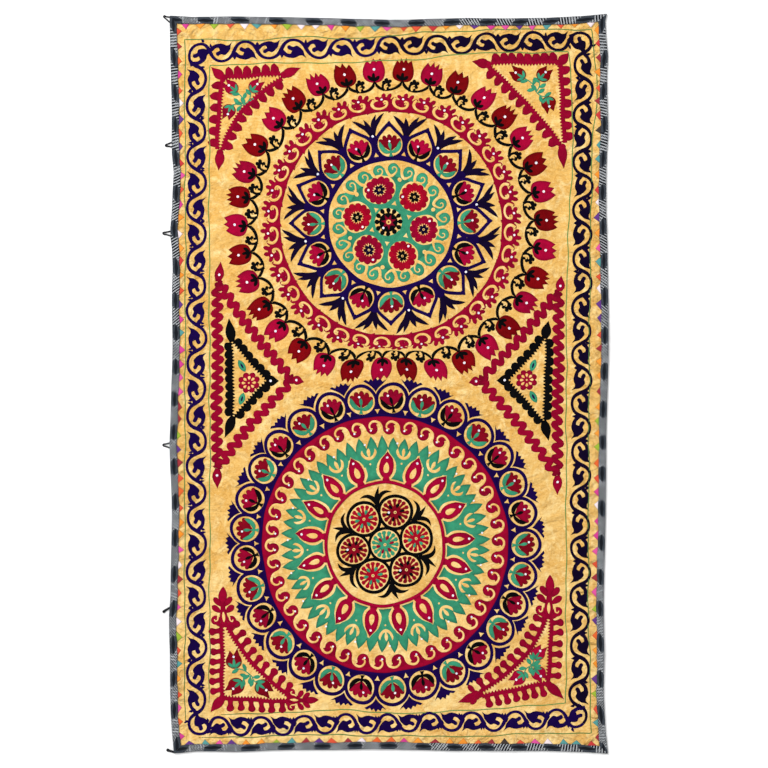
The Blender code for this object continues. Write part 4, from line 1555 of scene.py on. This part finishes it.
def points_row(side, finish):
    """Folded points: each is a triangle with a raised fold down its middle, tucked under the tape by its
    root.
    """
    low, high = EDGES[side][0][[0, -1]]
    span = high - low
    count = round((span - 2 * POINT_MARGIN) / POINT_PITCH)
    place = np.linspace(POINT_MARGIN, span - POINT_MARGIN, count) + random.uniform(-0.005, 0.005, count)
    width = random.uniform(0.024, 0.035, count)[:, None, None]
    reach = random.uniform(0.011, 0.018, count)[:, None, None]
    skew = random.uniform(-0.003, 0.003, count)[:, None, None]
    t = np.array([-0.4, 0, 0.3, 0.6, 0.85, 1])[None, :, None]
    s = np.linspace(-1, 1, 7)[None, None, :]
    across = place[:, None, None] + width / 2 * s * np.clip(1 - t, 0.02, 1) + skew * t
    inset = np.broadcast_to(BINDING_WIDTH + reach * t, across.shape)
    # The tape's ends are cut at 45 degrees, so the share is taken of the run at this inset.
    x, y = on_side(side, (across - inset) / (span - 2 * inset), inset)
    fold = (1 - np.abs(s)) ** 0.6 * 0.0006 + 0.0009 * (1 - np.abs(s) ** 6)
    height = on_face(x, y) + 0.0002 + fold * (1 - 0.5 * np.clip(t, 0, 1) ** 4)
    # The rim is where the points' painted shade falls: their sides and tips, where they fold under.
    rim = np.broadcast_to(np.maximum(np.abs(s) ** 3, np.clip(t, 0, 1) ** 3), across.shape)
    grid = np.stack([x, y, height, rim], axis=-1)
    colours = np.array([dye(*c) for c in POINT_DYES])
    chosen = colours[random.integers(0, len(colours), count)]
    piece = mesh_object(f"folded_points_{side}", [grid], finish, dyes=[chosen])
    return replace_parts(piece, f"points_{side}")


def loop_piece(number, finish):
    """A tape carried round a narrow U, from the lower end of its CAD loop to the tip and back."""
    low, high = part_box(f"loop_{number}")
    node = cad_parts[f"loop_{number}"].data
    points = np.empty(len(node.vertices) * 3)
    node.vertices.foreach_get("co", points)
    points = points.reshape(-1, 3)
    tip = points[points[:, 0] < low.x + 0.004].mean(axis=0)[:2]
    roots = points[points[:, 0] > high.x - 0.0006]
    upper = roots[roots[:, 1] > roots[:, 1].mean()].mean(axis=0)[:2]
    lower = roots[roots[:, 1] <= roots[:, 1].mean()].mean(axis=0)[:2]
    tip_x = low.x + 0.0017
    route = spline((
        upper + (0.004, 0), upper, (upper * 0.45 + tip * 0.55) + (0, 0.0008),
        (tip_x + 0.0022, tip[1] + 0.0026),
        (tip_x, tip[1]), (tip_x + 0.0022, tip[1] - 0.0026), (lower * 0.45 + tip * 0.55) - (0, 0.0008), lower,
        lower + (0.004, 0),
    ), 6)
    ahead = np.gradient(route, axis=0)
    ahead /= np.linalg.norm(ahead, axis=1)[:, None]
    aside = np.stack([-ahead[:, 1], ahead[:, 0]], axis=1)
    angle = np.linspace(0, TURN, 13)
    across = np.sign(np.cos(angle)) * np.abs(np.cos(angle)) ** 0.6 * 0.0023
    up = np.sign(np.sin(angle)) * np.abs(np.sin(angle)) ** 0.6 * 0.0012
    centre_height = (low.z + high.z) / 2
    flat = route[:, None, :] + aside[:, None, :] * across[None, :, None]
    height = np.broadcast_to(centre_height + up[None, :], flat.shape[:2])
    grid = np.concatenate([flat, height[..., None]], axis=-1)[None]
    piece = mesh_object(f"hanging_loop_{number}", [grid], finish, face_up=False)
    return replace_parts(piece, f"loop_{number}")


# ---------------------------------------------------------------- making the suzani

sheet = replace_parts(ground(), "ground_cloth")
tape_finish, scrap_finish, black_tape = binding_finish(), points_finish(), loop_finish()
sides = ("left", "right", "bottom", "top")
tapes = [binding(side, tape_finish) for side in sides]
rows = [points_row(side, scrap_finish) for side in sides]
loops = [loop_piece(number, black_tape) for number in range(1, 7)]

embroider("upper_medallion", Motif().add(upper_medallion(), (7, 499)))
embroider("lower_medallion", Motif().add(lower_medallion(), (-12, -495)))
embroider("triangle_motifs", triangles())
for thread, motif in vine().items():
    embroider("vine_border", motif)
embroider("border_line_outer", chain_line(OUTER_LINE))
embroider("border_line_inner", chain_line(INNER_LINE))

for tape, side in zip(tapes, sides):
    run = 2.29 if side in ("left", "right") else 1.36

# ---------------------------------------------------------------- floor, light and camera

bpy.ops.mesh.primitive_plane_add(size=14, location=(0, 0, -0.0005))
floor = bpy.context.object
floor.name = "floor"
floor_finish = Finish("floor_white", 0.9)
floor.data.materials.append(floor_finish.colour((0.97, 0.97, 0.97, 1)).material)

world = bpy.data.worlds.new("soft_room")
bpy.context.scene.world = world
world.use_nodes = True
world.node_tree.nodes["Background"].inputs["Color"].default_value = (1, 1, 1, 1)
world.node_tree.nodes["Background"].inputs["Strength"].default_value = 0.74

lamp = bpy.data.lights.new("window", "AREA")
lamp.shape = "RECTANGLE"
lamp.size, lamp.size_y = 3.6, 3.0
lamp.energy = 700
lamp_object = bpy.data.objects.new("window", lamp)
lamp_object.location = (-5.0, 5.0, 6.2)
lamp_object.rotation_euler = (math.radians(-36), math.radians(-34), 0)
bpy.context.scene.collection.objects.link(lamp_object)

VIEW_WIDTH = 2.381
camera_data = bpy.data.cameras.new("camera")
camera_data.lens = 85
camera_data.sensor_width = 36
camera = bpy.data.objects.new("camera", camera_data)
camera.location = (MIDDLE[0] - 0.0146, MIDDLE[1] + 0.0016, VIEW_WIDTH * 85 / 36)
bpy.context.scene.collection.objects.link(camera)
bpy.context.scene.camera = camera
bpy.context.scene.view_settings.view_transform = "Standard"
